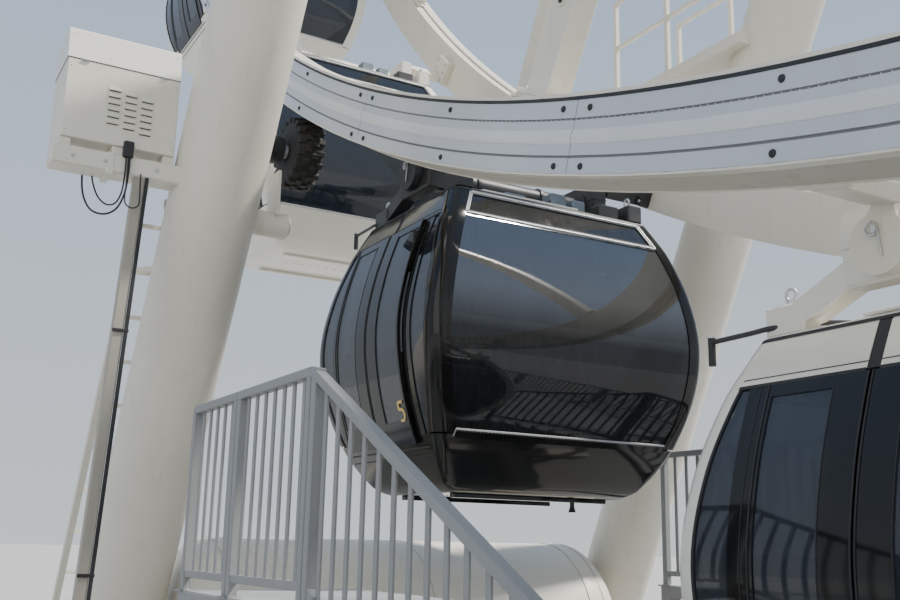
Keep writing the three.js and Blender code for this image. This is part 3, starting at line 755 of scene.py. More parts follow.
def side_patch(kit, x0, x1, z0, z1, out, thick, side, mat):
    """A curved plate on a long side; its edges are numbers or follow a height."""
    loops = []
    for z in steps_between(z0, z1):
        a, b = sorted((place(x0, z), place(x1, z)))
        far, near = side * (deep(z) + out), side * (deep(z) + out - thick)
        low, high = min(far, near), max(far, near)
        loops.append([(a, low, z), (b, low, z), (b, high, z), (a, high, z)])
    kit.loft(loops, mat)


def end_patch(kit, half, z0, z1, out, thick, end, mat):
    """A bent plate on an end, as wide as half gives at each height."""
    loops = []
    for z in steps_between(z0, z1):
        w = place(half, z)
        far, near = end * (wide(z) + out), end * (wide(z) + out - thick)
        low, high = min(far, near), max(far, near)
        loops.append([(low, -w, z), (high, -w, z), (high, w, z), (low, w, z)])
    kit.loft(loops, mat)


def corner_post(kit, sx, sy, mat, out=0.004):
    """The rounded corner between a side and an end, from the ceiling to the tub."""
    loops = []
    for z in steps_between(TUB_Z + 0.01, CEILING_Z + 0.01, 0.06):
        x, y = wide(z) + out, deep(z) + out
        r = CORNER
        outer = [(x, y - END_RIM)]
        for i in range(8):
            t = pi / 2 * i / 7
            outer.append((x - r + r * cos(t), y - r + r * sin(t)))
        outer.append((x - SIDE_RIM, y))
        inner = [(x - SIDE_RIM, y - 0.04), (x - 0.05, y - 0.05), (x - 0.04, y - END_RIM)]
        loop = [(sx * a, sy * b, z) for a, b in outer + inner]
        loops.append(loop if sx * sy > 0 else loop[::-1])
    kit.loft(loops, mat)


def yoke(kit, side, mat):
    """One inverted-V yoke: a bearing block, two box arms and two feet with lifting eyes."""
    y0, y1 = side * YOKE_Y - YOKE_HALF, side * YOKE_Y + YOKE_HALF
    kit.box((-0.245, y0, -0.15), (0.245, y1, -0.02), mat, 0.015)
    cap = [(-0.245, -0.03), (-0.245, 0.17), (-0.225, 0.19), (0.225, 0.19), (0.245, 0.17), (0.245, -0.03)]
    kit.prism(cap, y0 + 0.004, y1 - 0.004, mat)
    kit.box((-0.25, y0 - 0.002, 0.028), (0.25, y1 + 0.002, 0.040), mat, 0.003)
    for s in (-1, 1):
        arm = ((0.12, 0.02), (0.235, -0.02), (0.55, -0.155), (0.55, -0.285), (0.22, -0.149))
        kit.prism([(s * x, z) for x, z in arm], y0 + 0.008, y1 - 0.008, mat)
        kit.box((s * 0.48, y0 - 0.004, -0.302), (s * 0.71, y1 + 0.004, -0.152), mat, 0.012)
        foot = Vector((s * YOKE_FOOT, side * YOKE_Y, -0.153))
        kit.tube([foot, foot + Vector((0, 0, 0.03))], 0.026, ZINC, 12)
        turns = [tau * i / 14 for i in range(14)]
        eye = [foot + Vector((0.03 * cos(t), 0, 0.055 + 0.03 * sin(t))) for t in turns]
        kit.tube(eye, 0.009, ZINC, 8, closed=True)
        for dx in (-0.075, 0.075):
            kit.bolt(foot + Vector((dx, 0, 0)), (0, 0, 1), 0.014, 0.012, ZINC)
    kit.disc(0, 0, y0 - 0.012, y1 + 0.012, 0.135, mat, 32)


def roof_gear(kit):
    """What sits on the roof: a tray, a fan, control boxes, cables and a bumper rod."""
    kit.box((-0.56, -0.70, ROOF_Z - 0.01), (0.56, 0.70, ROOF_Z + 0.022), PLASTIC, 0.01)
    kit.box((-0.60, -0.30, ROOF_Z), (-0.30, 0.24, ROOF_Z + 0.17), CABWHITE, 0.02)
    kit.box((-0.61, -0.31, ROOF_Z + 0.165), (-0.29, 0.25, ROOF_Z + 0.185), WHITE, 0.008)
    for x, y, w, h in ((0.44, 0.06, 0.15, 0.14), (0.44, 0.27, 0.13, 0.12), (0.38, -0.34, 0.20, 0.09),
                       (0.10, -0.20, 0.34, 0.07)):
        kit.box((x, y, ROOF_Z + 0.02), (x + 0.14, y + w, ROOF_Z + 0.02 + h), BLUEGREY, 0.012)
        for d in (0.03, 0.06, 0.09):
            kit.box((x + 0.01, y - 0.003, ROOF_Z + 0.02 + h * 0.3 + d * 0.3),
                    (x + 0.13, y, ROOF_Z + 0.026 + h * 0.3 + d * 0.3), GASKET, 0.001)
    kit.tube([(0.05, 0.36, ROOF_Z + 0.10), (0.05, 0.62, ROOF_Z + 0.10)], [0.09, 0.09], CABWHITE, 28)
    kit.tube([(0.05, 0.62, ROOF_Z + 0.10), (0.05, 0.65, ROOF_Z + 0.10)], [0.09, 0.05], CABWHITE, 28)
    pale = [(0.52, -0.62), (0.60, -0.60), (0.61, 0.30), (0.54, 0.34)]
    kit.prism(pale, ROOF_Z + 0.022, ROOF_Z + 0.055, WHITE, "xy")
    kit.box((0.50, 0.50, ROOF_Z), (0.64, 0.70, ROOF_Z + 0.13), PLASTIC, 0.012)
    for i, (y, rise) in enumerate(((-0.55, 0.10), (-0.42, 0.14), (0.00, 0.15), (0.42, 0.10), (0.52, 0.12))):
        path = [(-0.35, y, ROOF_Z + 0.035), (-0.1, y + 0.05, ROOF_Z + rise),
                (0.15, y - 0.04 * (i % 2), ROOF_Z + rise * 0.8), (0.42, y + 0.03, ROOF_Z + 0.045)]
        kit.tube(smooth(path, 8), 0.012, GASKET, 8)
    rod = [(-0.30, -0.60, ROOF_Z + 0.04), (-0.50, -0.78, ROOF_Z + 0.055), (-0.66, -0.885, ROOF_Z + 0.045),
           (-0.80, -0.90, ROOF_Z + 0.038), (-1.05, -0.90, ROOF_Z + 0.035)]
    kit.tube(smooth(rod, 6), 0.013, PLASTIC, 10)
    tip = Vector((-1.05, -0.90, ROOF_Z + 0.055))
    kit.tube([tip, tip - Vector((0, 0, 0.14))], 0.019, GASKET, 14)
    kit.tube([tip, tip + Vector((0, 0, 0.011))], 0.023, ZINC, 14)


def interior(kit):
    """Two benches along the ends, a ceiling lining and two grab poles, seen dimly through the panes."""
    for s in (-1, 1):
        bench = ((0.40, 0.84, 0.88, -1.86, -1.80, SEAT), (0.80, 0.87, 0.90, -1.80, -1.30, SEAT),
                 (0.46, 0.78, 0.80, -2.16, -1.86, PLASTIC))
        for x0, x1, y, z0, z1, mat in bench:
            kit.box((s * x0, -y, z0), (s * x1, y, z1), mat, 0.015)
        kit.tube([(s * 0.38, -0.55, TUB_Z), (s * 0.38, -0.55, CEILING_Z)], 0.016, SILVER, 10)
    kit.box((-0.55, -0.80, CEILING_Z - 0.03), (0.55, 0.80, CEILING_Z + 0.005), SEAT, 0.006)


def leaf(kit, s, side, out):
    """A door leaf: a tall curved pane with black stiles and rails, and a seal at each edge."""
    top, low = BAND_Z - 0.012, -2.225
    inner, outer = 0.006, LEAF_X
    pane, slim = inner + STILE, outer - 0.030
    strips = (
        (inner + STILE * 0.95, outer - 0.022, top - 0.05, low + 0.16, 0.004, 0.010, GLASS),
        (inner, pane, top, low, 0.010, 0.022, BLACK),
        (slim, outer, top, low, 0.010, 0.022, BLACK),
        (pane, slim, top, top - 0.055, 0.010, 0.022, BLACK),
        (pane, slim, low + 0.17, low, 0.010, 0.022, BLACK),
        (inner + 0.001, inner + 0.009, top, low, 0.014, 0.012, GASKET),
        (outer - 0.009, outer - 0.001, top, low, 0.014, 0.012, GASKET),
        (pane + 0.002, pane + 0.007, top - 0.05, low + 0.16, 0.012, 0.010, GASKET),
    )
    for x0, x1, z0, z1, lift, thick, mat in strips:
        side_patch(kit, s * x0, s * x1, z0, z1, out + lift, thick, side, mat)


def end_face(kit, end, paint):
    """The bent end: large pane, vent window at the top, studded strip and lower panel."""
    top, low = CEILING_Z - 0.004, BAND_Z - 0.004
    bands = (
        (0.005, BAND_Z - 0.028, STRIP_Z, -0.004, 0.012, FILM if paint is BLACK else GLASS),
        (0.008, STRIP_Z, TUB_Z - 0.02, 0.002, 0.03, paint),
        (0.004, BAND_Z, BAND_Z - 0.028, 0.0, 0.03, paint),
        (-0.010, low + 0.01, top - 0.01, -0.010, 0.01, DARKGLASS),
    )
    for lap, z0, z1, out, thick, mat in bands:
        end_patch(kit, lambda z: deep(z) - END_RIM + lap, z0, z1, out, thick, end, mat)

    def on_end(y, z, out=0.0):
        return Vector((end * (wide(z) + out), y, z))

    half_top, half_low = deep(top) - END_RIM, deep(low) - END_RIM
    corners = [(-half_top, top), (half_top, top), (half_low, low), (-half_low, low)]
    for (ya, za), (yb, zb) in zip(corners, corners[1:] + corners[:1]):
        a, b = on_end(ya, za, 0.002), on_end(yb, zb, 0.002)
        inward = Vector((0, za - zb, yb - ya))
        kit.beam(a, b, 0.030, 0.012, SILVER, inward, 0.003)
        kit.tube([a + Vector((end * 0.007, 0, 0)), b + Vector((end * 0.007, 0, 0))], 0.0045, SILVER, 8)
    bars = [(-half_low + 0.02, half_low - 0.02, 0.022, 0.006, 0.008, 0.008)]
    for y in (-half_low + 0.05, -half_low + 0.16, half_low - 0.20, half_low - 0.09):
        bars.append((y, y + 0.045, -0.004, 0.009, 0.012, 0.004))
    for ya, yb, rise, out, width, height in bars:
        a, b = on_end(ya, low + rise, out), on_end(yb, low + rise, out)
        kit.beam(a, b, width, height, GASKET, (0, 0, 1), 0.002)
    for y in (-half_low + 0.02, 0.0, half_low - 0.02):
        kit.dome(on_end(y, low, 0.006), (end, 0, 0), 0.005, 0.004, ZINC)
    z = STRIP_Z
    half = deep(z) - END_RIM
    start = on_end(-half, z, 0.002)
    kit.beam(start, on_end(half, z, 0.002), 0.014, 0.010, SILVER, (0, 0, 1), 0.002)
    kit.beam(start, on_end(-half - 0.01, z - 0.05), 0.012, 0.010, SILVER, (0, 1, 0), 0.002)
    for i in range(STUDS):
        y = -half + 2 * half * (i + 0.5) / STUDS
        kit.stud(on_end(y, z - 0.011), (end, 0, 0), 0.0055, 0.012, SILVER)


def side_face(kit, side, paint, leaves):
    """A long side: header band, door posts, corner panes with their seals, and fixed leaves."""
    def rim(z):
        return wide(z) - SIDE_RIM

    for s in (-1, 1):
        def edge(z):
            return s * (rim(z) + 0.008)

        def seal(z):
            return s * (rim(z) - 0.012)

        mullion, leaf_x, post_x = s * 0.034, s * LEAF_X, s * POST_X
        strips = (
            (mullion, edge, CEILING_Z + 0.008, BAND_Z, 0.004, 0.03, paint),
            (mullion, edge, BAND_Z + 0.034, BAND_Z + 0.029, 0.0055, 0.01, GASKET),
            (mullion, edge, BAND_Z + 0.004, BAND_Z - 0.012, 0.006, 0.02, GASKET),
            (leaf_x + s * 0.004, post_x, BAND_Z, TUB_Z, 0.004, 0.03, BLACK),
            (leaf_x + s * 0.045, leaf_x + s * 0.050, BAND_Z, TUB_Z, 0.006, 0.01, GASKET),
            (post_x - s * 0.004, edge, BAND_Z - 0.006, TUB_Z, -0.004, 0.008, GLASS),
            (seal, edge, BAND_Z - 0.006, TUB_Z, 0.003, 0.015, GASKET),
        )
        for x0, x1, z0, z1, out, thick, mat in strips:
            side_patch(kit, x0, x1, z0, z1, out, thick, side, mat)
        if leaves:
            leaf(kit, s, side, 0.0)
    side_patch(kit, -0.034, 0.034, CEILING_Z + 0.03, BAND_Z, 0.0, 0.03, side, GASKET)
    for z0, z1 in ((TUB_Z - 0.075, TUB_Z - 0.085), (-2.30, -2.306)):
        side_patch(kit, lambda z: -rim(z), rim, z0, z1, 0.001, 0.01, side, GASKET)


def cabin_mesh(name, paint, leaves):
    """One whole cabin about its pivot; leaves says whether the boarding side has fixed leaves."""
    kit = Kit(name)
    tub = steps_between(FLOOR_Z + 0.012, TUB_Z, 0.06)
    rounded = [(0.0, 0.10), (0.006, 0.065), (0.022, 0.035), (0.045, 0.015)]
    foot = [plan(FLOOR_Z + up, inset) for up, inset in rounded]
    kit.loft(foot + [plan(z, 0.002) for z in tub if z > FLOOR_Z + 0.05], paint)
    lid = ((CEILING_Z, 0.002), (ROOF_Z - 0.012, 0.0), (ROOF_Z - 0.003, 0.008), (ROOF_Z, 0.03))
    kit.loft([plan(z, inset) for z, inset in lid], paint)
    kit.loft([plan(z, -0.004) for z in (ROOF_Z - 0.030, ROOF_Z - 0.014)], GASKET)
    for sx in (-1, 1):
        for sy in (-1, 1):
            corner_post(kit, sx, sy, paint)
    for side in (-1, 1):
        side_face(kit, side, paint, side > 0 or leaves)
    for end in (-1, 1):
        end_face(kit, end, paint)
    for side in (-1, 1):
        yoke(kit, side, PLASTIC if paint is BLACK else paint)
    roof_gear(kit)
    interior(kit)
    # docking pin, skids and a row of vents under the floor
    kit.tube([(0.30, 0.45, FLOOR_Z), (0.30, 0.45, FLOOR_Z - 0.06)], 0.018, PLASTIC, 12)
    kit.tube([(0.30, 0.45, FLOOR_Z - 0.06), (0.30, 0.45, FLOOR_Z - 0.10)], [0.018, 0.03], PLASTIC, 12)
    for x in (-0.38, 0.38):
        kit.box((x - 0.035, -0.70, FLOOR_Z - 0.03), (x + 0.035, 0.70, FLOOR_Z + 0.002), paint, 0.006)
    for i in range(12):
        vent = Vector((0.05, -0.55 + 0.1 * i, FLOOR_Z))
        kit.tube([vent, vent - Vector((0, 0, 0.002))], 0.010, GASKET, 10)
    return kit.mesh()


cabin_white = cabin_mesh("cabin_cream_shell", CABWHITE, True)
cabin_black = cabin_mesh("cabin_black_shell", BLACK, False)
for k in range(CABINS):
    number = (FEATURED - 1 + k) % CABINS + 1
    node = f"cabin_{number:02d}"
    at = on_wheel(PIVOT_R, FEATURED_ANGLE + PITCH * k)
    mesh, slot = (cabin_black, "cabin_black") if number == FEATURED else (cabin_white, "cabin_white")
    show(node + "_shell", mesh, node, slot, node, at=at)

home = on_wheel(PIVOT_R, FEATURED_ANGLE)
LEAF_OUT = 0.026
FIVE_Z = -1.93
for s in (-1, 1):
    kit = Kit("door_leaf_" + HAND[s])
    leaf(kit, s, -1, LEAF_OUT)
    if s > 0:
        # the cabin's number in gold film, a plain figure five drawn in one stroke
        five = ((0.495, 0), (0.43, 0), (0.43, -0.05), (0.475, -0.05), (0.498, -0.07), (0.498, -0.105),
                (0.475, -0.128), (0.43, -0.128))
        path = [Vector((x, -(deep(FIVE_Z + dz) + LEAF_OUT + 0.012), FIVE_Z + dz)) for x, dz in five]
        for a, b in zip(path, path[1:]):
            kit.beam(a, b, 0.006, 0.021, GOLD, (0, 1, 0), 0.001)
        y = -(deep(-0.72) + LEAF_OUT)
        kit.prism([(0.42, -0.70), (0.535, -0.655), (0.535, -0.75)], y - 0.03, y + 0.01, PLASTIC)
    body = "cabin_05_door_" + HAND[s]
    show(kit.name, kit.mesh(), body, "tinted_glass", body, at=home)


# legs and tanks
FOOT = Vector((10.757, 2.505, 1.05))
HEAD = Vector((0.52, 2.189, HUB_Z - 0.56))
LEG_R, LEG_TAPER = 0.336, 0.0025
LEG_JOINTS = (9.6, 15.4)
PAD_X, PAD_Z, PAD_TOP = 11.371, 0.2505, 0.33


def leg_axis(sx, sy, z):
    t = (z - FOOT.z) / (HEAD.z - FOOT.z)
    p = FOOT.lerp(HEAD, t)
    return Vector((sx * p.x, sy * p.y, z))


def make_leg(sx, sy):
    """A tubular leg in three flanged lengths, on a bolted foot pad."""
    node = f"{FACE[sy]}_leg_{HAND[sx]}"
    kit = Kit(node + "_tube")
    low, high = PAD_TOP, HUB_Z - 0.95
    for a, b in zip((low, *LEG_JOINTS), (*LEG_JOINTS, high)):
        pa, pb = leg_axis(sx, sy, a), leg_axis(sx, sy, b)
        ra, rb = (LEG_R * (1 - LEG_TAPER * (z - 0.3)) for z in (a, b))
        kit.tube([pa, pb], [ra, rb], CREAM, 72)
        along = (pb - pa).normalized()
        if a > low:
            for d in (-0.05, 0.012):
                kit.tube([pa + along * d, pa + along * (d + 0.038)], ra + 0.085, CREAM, 64)
            ring = along.orthogonal().normalized()
            for i in range(20):
                spot = Matrix.Rotation(tau * i / 20, 3, along) @ ring
                kit.bolt(pa + along * 0.05 + spot * (ra + 0.05), along, 0.018, 0.02, ZINC)
    foot = leg_axis(sx, sy, 0.436)
    x, y = sx * PAD_X, sy * FOOT.y
    kit.box((x - 0.42, y - 0.38, PAD_Z), (x + 0.42, y + 0.38, PAD_TOP), CREAM, 0.008)
    for dx in (-0.34, 0, 0.34):
        for dy in (-0.31, 0.31):
            kit.bolt((x + dx, y + dy, PAD_TOP), (0, 0, 1), 0.03, 0.03, ZINC)
    near, far = foot.x - sx * 0.30, foot.x - sx * 0.55
    for y in (foot.y - 0.12, foot.y + 0.12):
        kit.prism([(far, PAD_TOP), (near, PAD_TOP), (near, 0.75)], y - 0.01, y + 0.01, CREAM)
    if sx < 0:
        # oval cover plate beside the drive
        at = leg_axis(sx, sy, 5.03)
        out = Vector((-0.55, sy * 0.83, -0.1)).normalized()
        kit.tube([at + out * 0.30, at + out * 0.345], 0.085, ZINC, 28)
        kit.tube([at + out * 0.34, at + out * 0.352], 0.03, GASKET, 16)
    kit.done("base", "cream_paint", node)


for sx in (-1, 1):
    for sy in (-1, 1):
        make_leg(sx, sy)


TANK_X, TANK_Y, TANK_Z, TANK_R = 10.25, 1.83, 1.77, 0.85


def make_tank(sx):
    """A round-ended ballast tank with weld seams, straps and saddles."""
    node = "tank_" + HAND[sx]
    kit = Kit(node + "_shell")
    x, z = sx * TANK_X, TANK_Z
    bulge = [(TANK_Y, TANK_R), (1.91, 0.835), (1.99, 0.77), (2.06, 0.66), (2.10, 0.52), (2.12, 0.30)]
    kit.spin((x, 0, z), (0, 1, 0), mirrored(bulge), CREAM, 80)
    # weld seams drawn in the same darker cream that carries the grime and painted shade
    for y in (-TANK_Y, 0.0, TANK_Y):
        kit.disc(x, z, y - 0.006, y + 0.006, TANK_R + 0.004, CREAM_GRIME_AND_SHADE, 80)
    for y in (-1.70, 1.70):
        kit.disc(x, z, y - 0.04, y + 0.04, TANK_R + 0.008, CREAM, 80)
        kit.box((x - 0.60, y - 0.15, PAD_Z), (x + 0.60, y + 0.15, z - 0.60), CREAM, 0.01)
        for s in (-0.5, 0.5):
            kit.bolt((x + s, y, z - 0.60), (0, 0, 1), 0.02, 0.03, ZINC)
    kit.done("base", "cream_paint", node)


for sx in (-1, 1):
    make_tank(sx)


# railings
RAIL_H = 1.15
STEPS = 7
LAND_Z, DECK_Z = 2.27, 1.0
RISE = (LAND_Z - DECK_Z) / (STEPS + 1)
STAIR_X0, STAIR_X1 = -3.9604, -6.06
DECK_X0, DECK_Y0, DECK_RAIL_Y = -3.95, 1.36, 5.34
TREAD_X, TREAD_Y, TREAD_GAP_X, TREAD_GAP_Y = 1.121, 1.0, 0.008, 0.01


def flat_fence(kit, runs, y):
    """Panels of flat upright bars between paired posts, under a square handrail."""
    for (xa, za), (xb, zb) in zip(runs, runs[1:]):
        for lift, w, h in ((RAIL_H, 0.06, 0.05), (0.11, 0.045, 0.045)):
            kit.beam((xa, y, za + lift), (xb, y, zb + lift), w, h, GREY, edge=0.004)
        length = xb - xa
        count = round(length / 0.145)
        for k in range(1, count):
            x = xa + length * k / count
            z = za + (zb - za) * k / count
            kit.box((x - 0.018, y - 0.006, z + 0.10), (x + 0.018, y + 0.006, z + RAIL_H), GREY, 0.002)
    for i, (x, z) in enumerate(runs):
        ends = (-0.034, 0.034) if 0 < i < len(runs) - 1 else (0.0,)
        for d in ends:
            low, high = (x + d - 0.028, y - 0.028, z), (x + d + 0.028, y + 0.028, z + RAIL_H + 0.012)
            kit.box(low, high, GREY, 0.004)
        kit.box((x - 0.07, y - 0.05, z), (x + 0.07, y + 0.05, z + 0.012), GREY, 0.002)
        for d in (-0.05, 0.05):
            kit.bolt((x + d, y, z + 0.012), (0, 0, 1), 0.008, 0.008, ZINC)


def treads(kit, side, y0, y1, land_x):
    """Tread plates on a deck, its landing and each step."""
    for i in range(7):
        for j in range(4):
            x, y = DECK_X0 + (TREAD_X + TREAD_GAP_X) * i, DECK_Y0 + (TREAD_Y + TREAD_GAP_Y) * j
            low, high = (x, side * y, DECK_Z - 0.001), (x + TREAD_X, side * (y + TREAD_Y), DECK_Z + 0.006)
            kit.box(low, high, DECK, 0.002)
    kit.box((land_x + 0.01, y0, LAND_Z - 0.001), (STAIR_X1, y1, LAND_Z + 0.006), DECK, 0.002)
    y0, y1 = y0 + 0.03, y1 - 0.03
    for i in range(STEPS):
        x = STAIR_X0 + (STAIR_X1 - STAIR_X0) / STEPS * i
        z = DECK_Z + RISE * (i + 1)
        kit.box((x - 0.39, y0, z - 0.001), (x - 0.01, y1, z + 0.005), DECK, 0.002)
        kit.box((x - 0.03, y0, z - 0.03), (x, y1, z + 0.007), GASKET, 0.003)


# each deck: the stair's two edges, the landing's end, its middle post and the railing's line
DECKS = (
    ("boarding", -1, -2.62, -1.37, -8.13, -7.23, -2.605),
    ("exit", 1, 1.88, 3.08, -8.69, -7.35, 1.895),
)
for name, side, _, _, land_x, post_x, rail_y in DECKS:
    kit = Kit(name + "_stair_fence")
    flight = [(STAIR_X1 - 0.05, LAND_Z), (STAIR_X0 - 0.06, DECK_Z + RISE)]
    flat_fence(kit, [(land_x + 0.045, LAND_Z), (post_x, LAND_Z), *flight], rail_y)
    kit.done("base", "grey_steel", name + "_stair_railing")
    kit = Kit(name + "_deck_fence")
    flat_fence(kit, [(x, DECK_Z) for x in (-3.90, -1.2, 1.2, 3.90)], side * DECK_RAIL_Y)
    kit.done("base", "grey_steel", name + "_railing")


# drive, housing, its shelf and the treads
TYRE_R, DRIVE_ANGLE, LUGS = 0.31, -31.2, 18
tyre_at = on_wheel(RING_OUT + TYRE_R + 0.006, DRIVE_ANGLE)


def make_tyre():
    """A tractor tyre with staggered lugs, its rim and hub."""
    kit = Kit("lugged_tyre")
    kit.turn = Matrix.Translation(tyre_at)
    y0, y1 = -1.656, -1.415
    mid, half = (y0 + y1) / 2, (y1 - y0) / 2
    shoulder = [(0.6, 0.925), (0.86, 0.88), (0.98, 0.78), (1.0, 0.60)]
    tread = [(half * d, TYRE_R * r) for d, r in mirrored(shoulder, [(0, 0.94)])]
    kit.spin((0, mid, 0), (0, 1, 0), tread, RUBBER, 64)
    blocks = ((0.02, 0.5, 0.90, 0.995, 0.0), (0.45, 0.99, 0.80, 0.985, -0.10))
    for i in range(LUGS):
        for s in (-1, 1):
            t = tau * (i + (0.5 if s > 0 else 0)) / LUGS
            for a, b, low, high, skew in blocks:
                m = Matrix.Rotation(t + skew * s, 4, "Y")
                near, far = mid + s * half * a, mid + s * half * b
                kit.box((-0.024, near, TYRE_R * low), (0.024, far, TYRE_R * high), RUBBER, 0.006, m)
    for s in (-1, 1):
        edge = mid + s * half
        kit.disc(0, 0, edge - s * 0.03, edge - s * 0.012, TYRE_R * 0.60, PLASTIC, 40)
        kit.disc(0, 0, edge - s * 0.03, edge, 0.07, ZINC, 24)
        kit.bolt_ring((0, edge - s * 0.012, 0), 0.11, 6, s, 0.012, 0.012, ZINC)
    kit.done("drive_tyre", "tyre_rubber", "drive_tyre")


make_tyre()


def make_drive():
    """The arm and motor that carry the tyre, with a second gear case below."""
    kit = Kit("drive_unit")
    leg = leg_axis(-1, -1, tyre_at.z)
    x0, z = tyre_at.x, tyre_at.z
    kit.box((x0 - 0.13, leg.y - 0.06, z - 0.11), (leg.x - 0.31, leg.y + 0.20, z + 0.11), CREAM, 0.01)
    kit.box((x0 - 0.17, leg.y + 0.01, z - 0.16), (x0 + 0.17, leg.y + 0.04, z + 0.16), CREAM, 0.006)
    kit.disc(x0, z, leg.y + 0.04, -1.90, 0.145, CREAM, 36)
    kit.disc(x0, z, -1.90, -1.86, 0.165, CREAM, 36)
    kit.tube([(x0, -1.86, z), (x0, -1.70, z)], [0.14, 0.11], PLASTIC, 36)
    kit.disc(x0, z, -1.70, -1.6575, 0.06, ZINC, 24)
    kit.bolt_ring((x0, -1.86, z), 0.152, 8, 1, 0.01, 0.012, ZINC)
    low = leg_axis(-1, -1, 5.0)
    root, neck, tip = (low + Vector((-0.10, d, 0)) for d in (0.25, 0.62, 0.65))
    kit.tube([root, neck], 0.10, CREAM, 28)
    kit.tube([neck, tip], [0.10, 0.07], CREAM, 28)
    kit.box((low.x - 0.20, low.y + 0.50, 5.05), (low.x + 0.02, low.y + 0.53, 5.42), CREAM, 0.006)
    kit.done("base", "cream_paint", "drive_bracket")


make_drive()

house_y1 = leg_axis(-1, -1, HOUSE_Z).y - LEG_R - 0.025
house_y0 = house_y1 - 0.80


def make_housing():
    """Sheet housing with a folded lid, louvres and hinges."""
    kit = Kit("drive_housing")
    x0, x1, y0, y1 = HOUSE_X0, HOUSE_X1, house_y0, house_y1
    z0, z1 = HOUSE_Z + 0.0005, HOUSE_Z + HOUSE_H
    fold = z1 - 0.24
    kit.box((x0 + 0.004, y0 + 0.004, z0), (x1 - 0.004, y1 - 0.004, fold + 0.02), CREAM, 0.006)
    lid = [(x0, fold), (x1, fold), (x1 - 0.035, z1 - 0.015), (x1 - 0.05, z1), (x0 + 0.02, z1),
           (x0, z1 - 0.02)]
    kit.prism(lid, y0, y1, WHITE)
    kit.box((x0 + 0.001, y0 + 0.001, fold - 0.006), (x1 - 0.001, y1 - 0.001, fold - 0.002), GASKET, 0.001)
    for row in range(6):
        for col in range(3):
            y = y0 + 0.30 + 0.115 * col
            z = z0 + 0.40 - 0.05 * row + 0.018 * (1 - col)
            hood = ((-0.006, -0.016), (0.010, -0.014), (-0.002, 0.014), (-0.006, 0.014))
            kit.prism([(x1 + dx, z + dz) for dx, dz in hood], y, y + 0.085, CREAM)
            kit.box((x1 - 0.004, y + 0.003, z - 0.021), (x1 + 0.001, y + 0.082, z - 0.016), GASKET, 0.001)
    for y in (y0 + 0.10, y1 - 0.14):
        kit.disc(x1 + 0.004, fold - 0.004, y, y + 0.05, 0.008, ZINC, 10)
    for z in (z0 + 0.05, fold - 0.06, z1 - 0.05):
        for y in (y0 + 0.03, y1 - 0.03):
            kit.dome((x1 - 0.004 if z < fold else x1 - 0.03, y, z), (1, 0, 0), 0.006, 0.004, ZINC)
    kit.done("base", "cream_paint", "machine_housing")


def make_shelf():
    """The beam from the leg that carries the housing, and the post at its outer end."""
    kit = Kit("bracket_beam")
    x0, x1 = HOUSE_X1 - 0.20, HOUSE_X1
    leg = leg_axis(-1, -1, HOUSE_Z - 0.13)
    top, low = HOUSE_Z - 0.06, HOUSE_Z - 0.20
    kit.box((x0, house_y0 - 0.04, low), (x1, leg.y - 0.28, top), CREAM, 0.012)
    mid = (house_y0 + house_y1) / 2 - 0.04
    for y in (house_y0, mid, house_y1 - 0.08):
        kit.box((x0 + 0.02, y, top - 0.002), (x1 - 0.02, y + 0.08, HOUSE_Z), CREAM, 0.005)
    kit.box((x0 - 0.02, mid - 0.03, low - 0.02), (x1 + 0.004, mid + 0.02, top + 0.004), CREAM, 0.004)
    y, z = GLAND.y, GLAND.z
    kit.box((x1 - 0.02, y - 0.035, z), (x1 + 0.032, y + 0.035, z + 0.12), GASKET, 0.006)
    for y in (house_y0 + 0.10, house_y0 + 0.32, house_y1 - 0.12):
        kit.bolt((x1, y, (top + low) / 2), (1, 0, 0), 0.014, 0.012, ZINC)
    # channel post from the beam to the ground, with a conduit clipped to it
    top_at = Vector((x1 - 0.045, GLAND.y + 0.10, low + 0.004))
    foot_at = Vector((x1 - 0.045, GLAND.y - 0.13, 0.012))
    beside = Vector((0.036, 0.052, 0))
    kit.beam(top_at, foot_at, 0.074, 0.070, POST, edge=0.005)
    kit.beam(top_at + beside, foot_at + beside, 0.026, 0.020, GASKET, edge=0.006)
    x, y = foot_at.x, foot_at.y
    kit.box((x - 0.12, y - 0.12, 0.0005), (x + 0.12, y + 0.12, 0.014), POST, 0.003)
    for dx in (-0.085, 0.085):
        for dy in (-0.085, 0.085):
            kit.bolt((x + dx, y + dy, 0.014), (0, 0, 1), 0.011, 0.012, ZINC)
    for share in (0.22, 0.54, 0.86):
        a, b = (top_at.lerp(foot_at, share) + Vector((0.040, dy, 0)) for dy in (-0.041, 0.069))
        kit.beam(a, b, 0.016, 0.022, GASKET, (1, 0, 0), 0.002)
    kit.done("base", "cream_paint", "housing_shelf")


make_housing()
make_shelf()
for name, side, y0, y1, land_x, _, _ in DECKS:
    kit = Kit(name + "_treads")
    treads(kit, side, y0, y1, land_x)
    kit.done("base", "grey_steel")


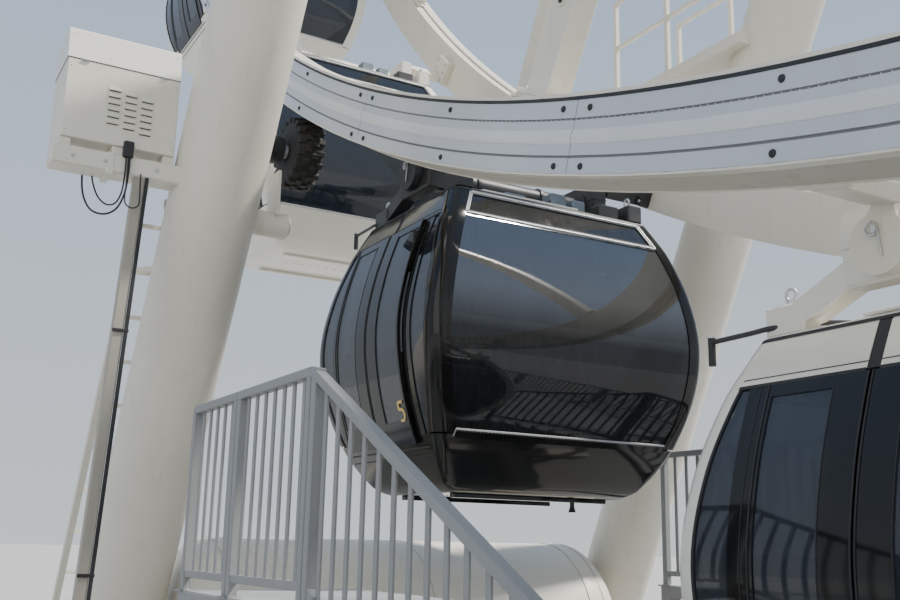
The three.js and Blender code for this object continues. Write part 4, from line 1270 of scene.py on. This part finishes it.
# finishes of the solids that stay
CREAM_NODES = ("base_frame", "front_bearing", "back_bearing", "ladder", "service_walkway")
GREY_NODES = ("boarding_platform", "boarding_stair", "exit_platform", "exit_stair")
for name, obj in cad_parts.items():
    if name in CREAM_NODES + GREY_NODES:
        for spot in obj.material_slots:
            spot.material = GREY if name in GREY_NODES else CREAM
        soft = obj.modifiers.new("soft_edges", "BEVEL")
        soft.width, soft.segments, soft.limit_method = 0.006, 2, "ANGLE"


# stage
def make_stage():
    """Pale floor, soft sky and two suns."""
    n = Nodes("pale_floor")
    tone = n.noise(n.coords(), 0.15, 3)
    pale = n.ramp(tone, ((0.3, (0.40, 0.395, 0.38)), (0.8, (0.46, 0.455, 0.44))))
    n.look(Base_Color=pale, Roughness=0.9)
    bpy.ops.mesh.primitive_circle_add(vertices=96, radius=400, fill_type="NGON", location=(0, 0, -0.004))
    floor = bpy.context.object
    floor.name = "floor"
    floor.data.materials.append(n.mat)
    world = bpy.data.worlds.new("studio")
    bpy.context.scene.world = world
    world.use_nodes = True
    tree = world.node_tree
    back = tree.nodes["Background"]
    coord = tree.nodes.new("ShaderNodeTexCoord")
    split = tree.nodes.new("ShaderNodeSeparateXYZ")
    ramp = tree.nodes.new("ShaderNodeValToRGB")
    tree.links.new(coord.outputs["Generated"], split.inputs[0])
    tree.links.new(split.outputs["Z"], ramp.inputs[0])
    tree.links.new(ramp.outputs["Color"], back.inputs["Color"])
    stops = ((0.0, (0.80, 0.85, 0.90, 1)), (0.7, (0.42, 0.58, 0.84, 1)))
    for element, (place, colour) in zip(ramp.color_ramp.elements, stops):
        element.position, element.color = place, colour
    back.inputs["Strength"].default_value = 0.95
    for name, toward, power, size, colour in (
        ("key", (0.30, 0.50, 0.80), 7.0, 4, (1.0, 0.95, 0.88)),
        ("fill", (0.75, -0.60, 0.30), 0.8, 60, (1.0, 0.93, 0.84)),
    ):
        data = bpy.data.lights.new(name, "SUN")
        data.energy, data.angle, data.color = power, radians(size), colour
        lamp = bpy.data.objects.new(name, data)
        lamp.rotation_euler = Vector(toward).to_track_quat("Z", "Y").to_euler()
        bpy.context.scene.collection.objects.link(lamp)


make_stage()
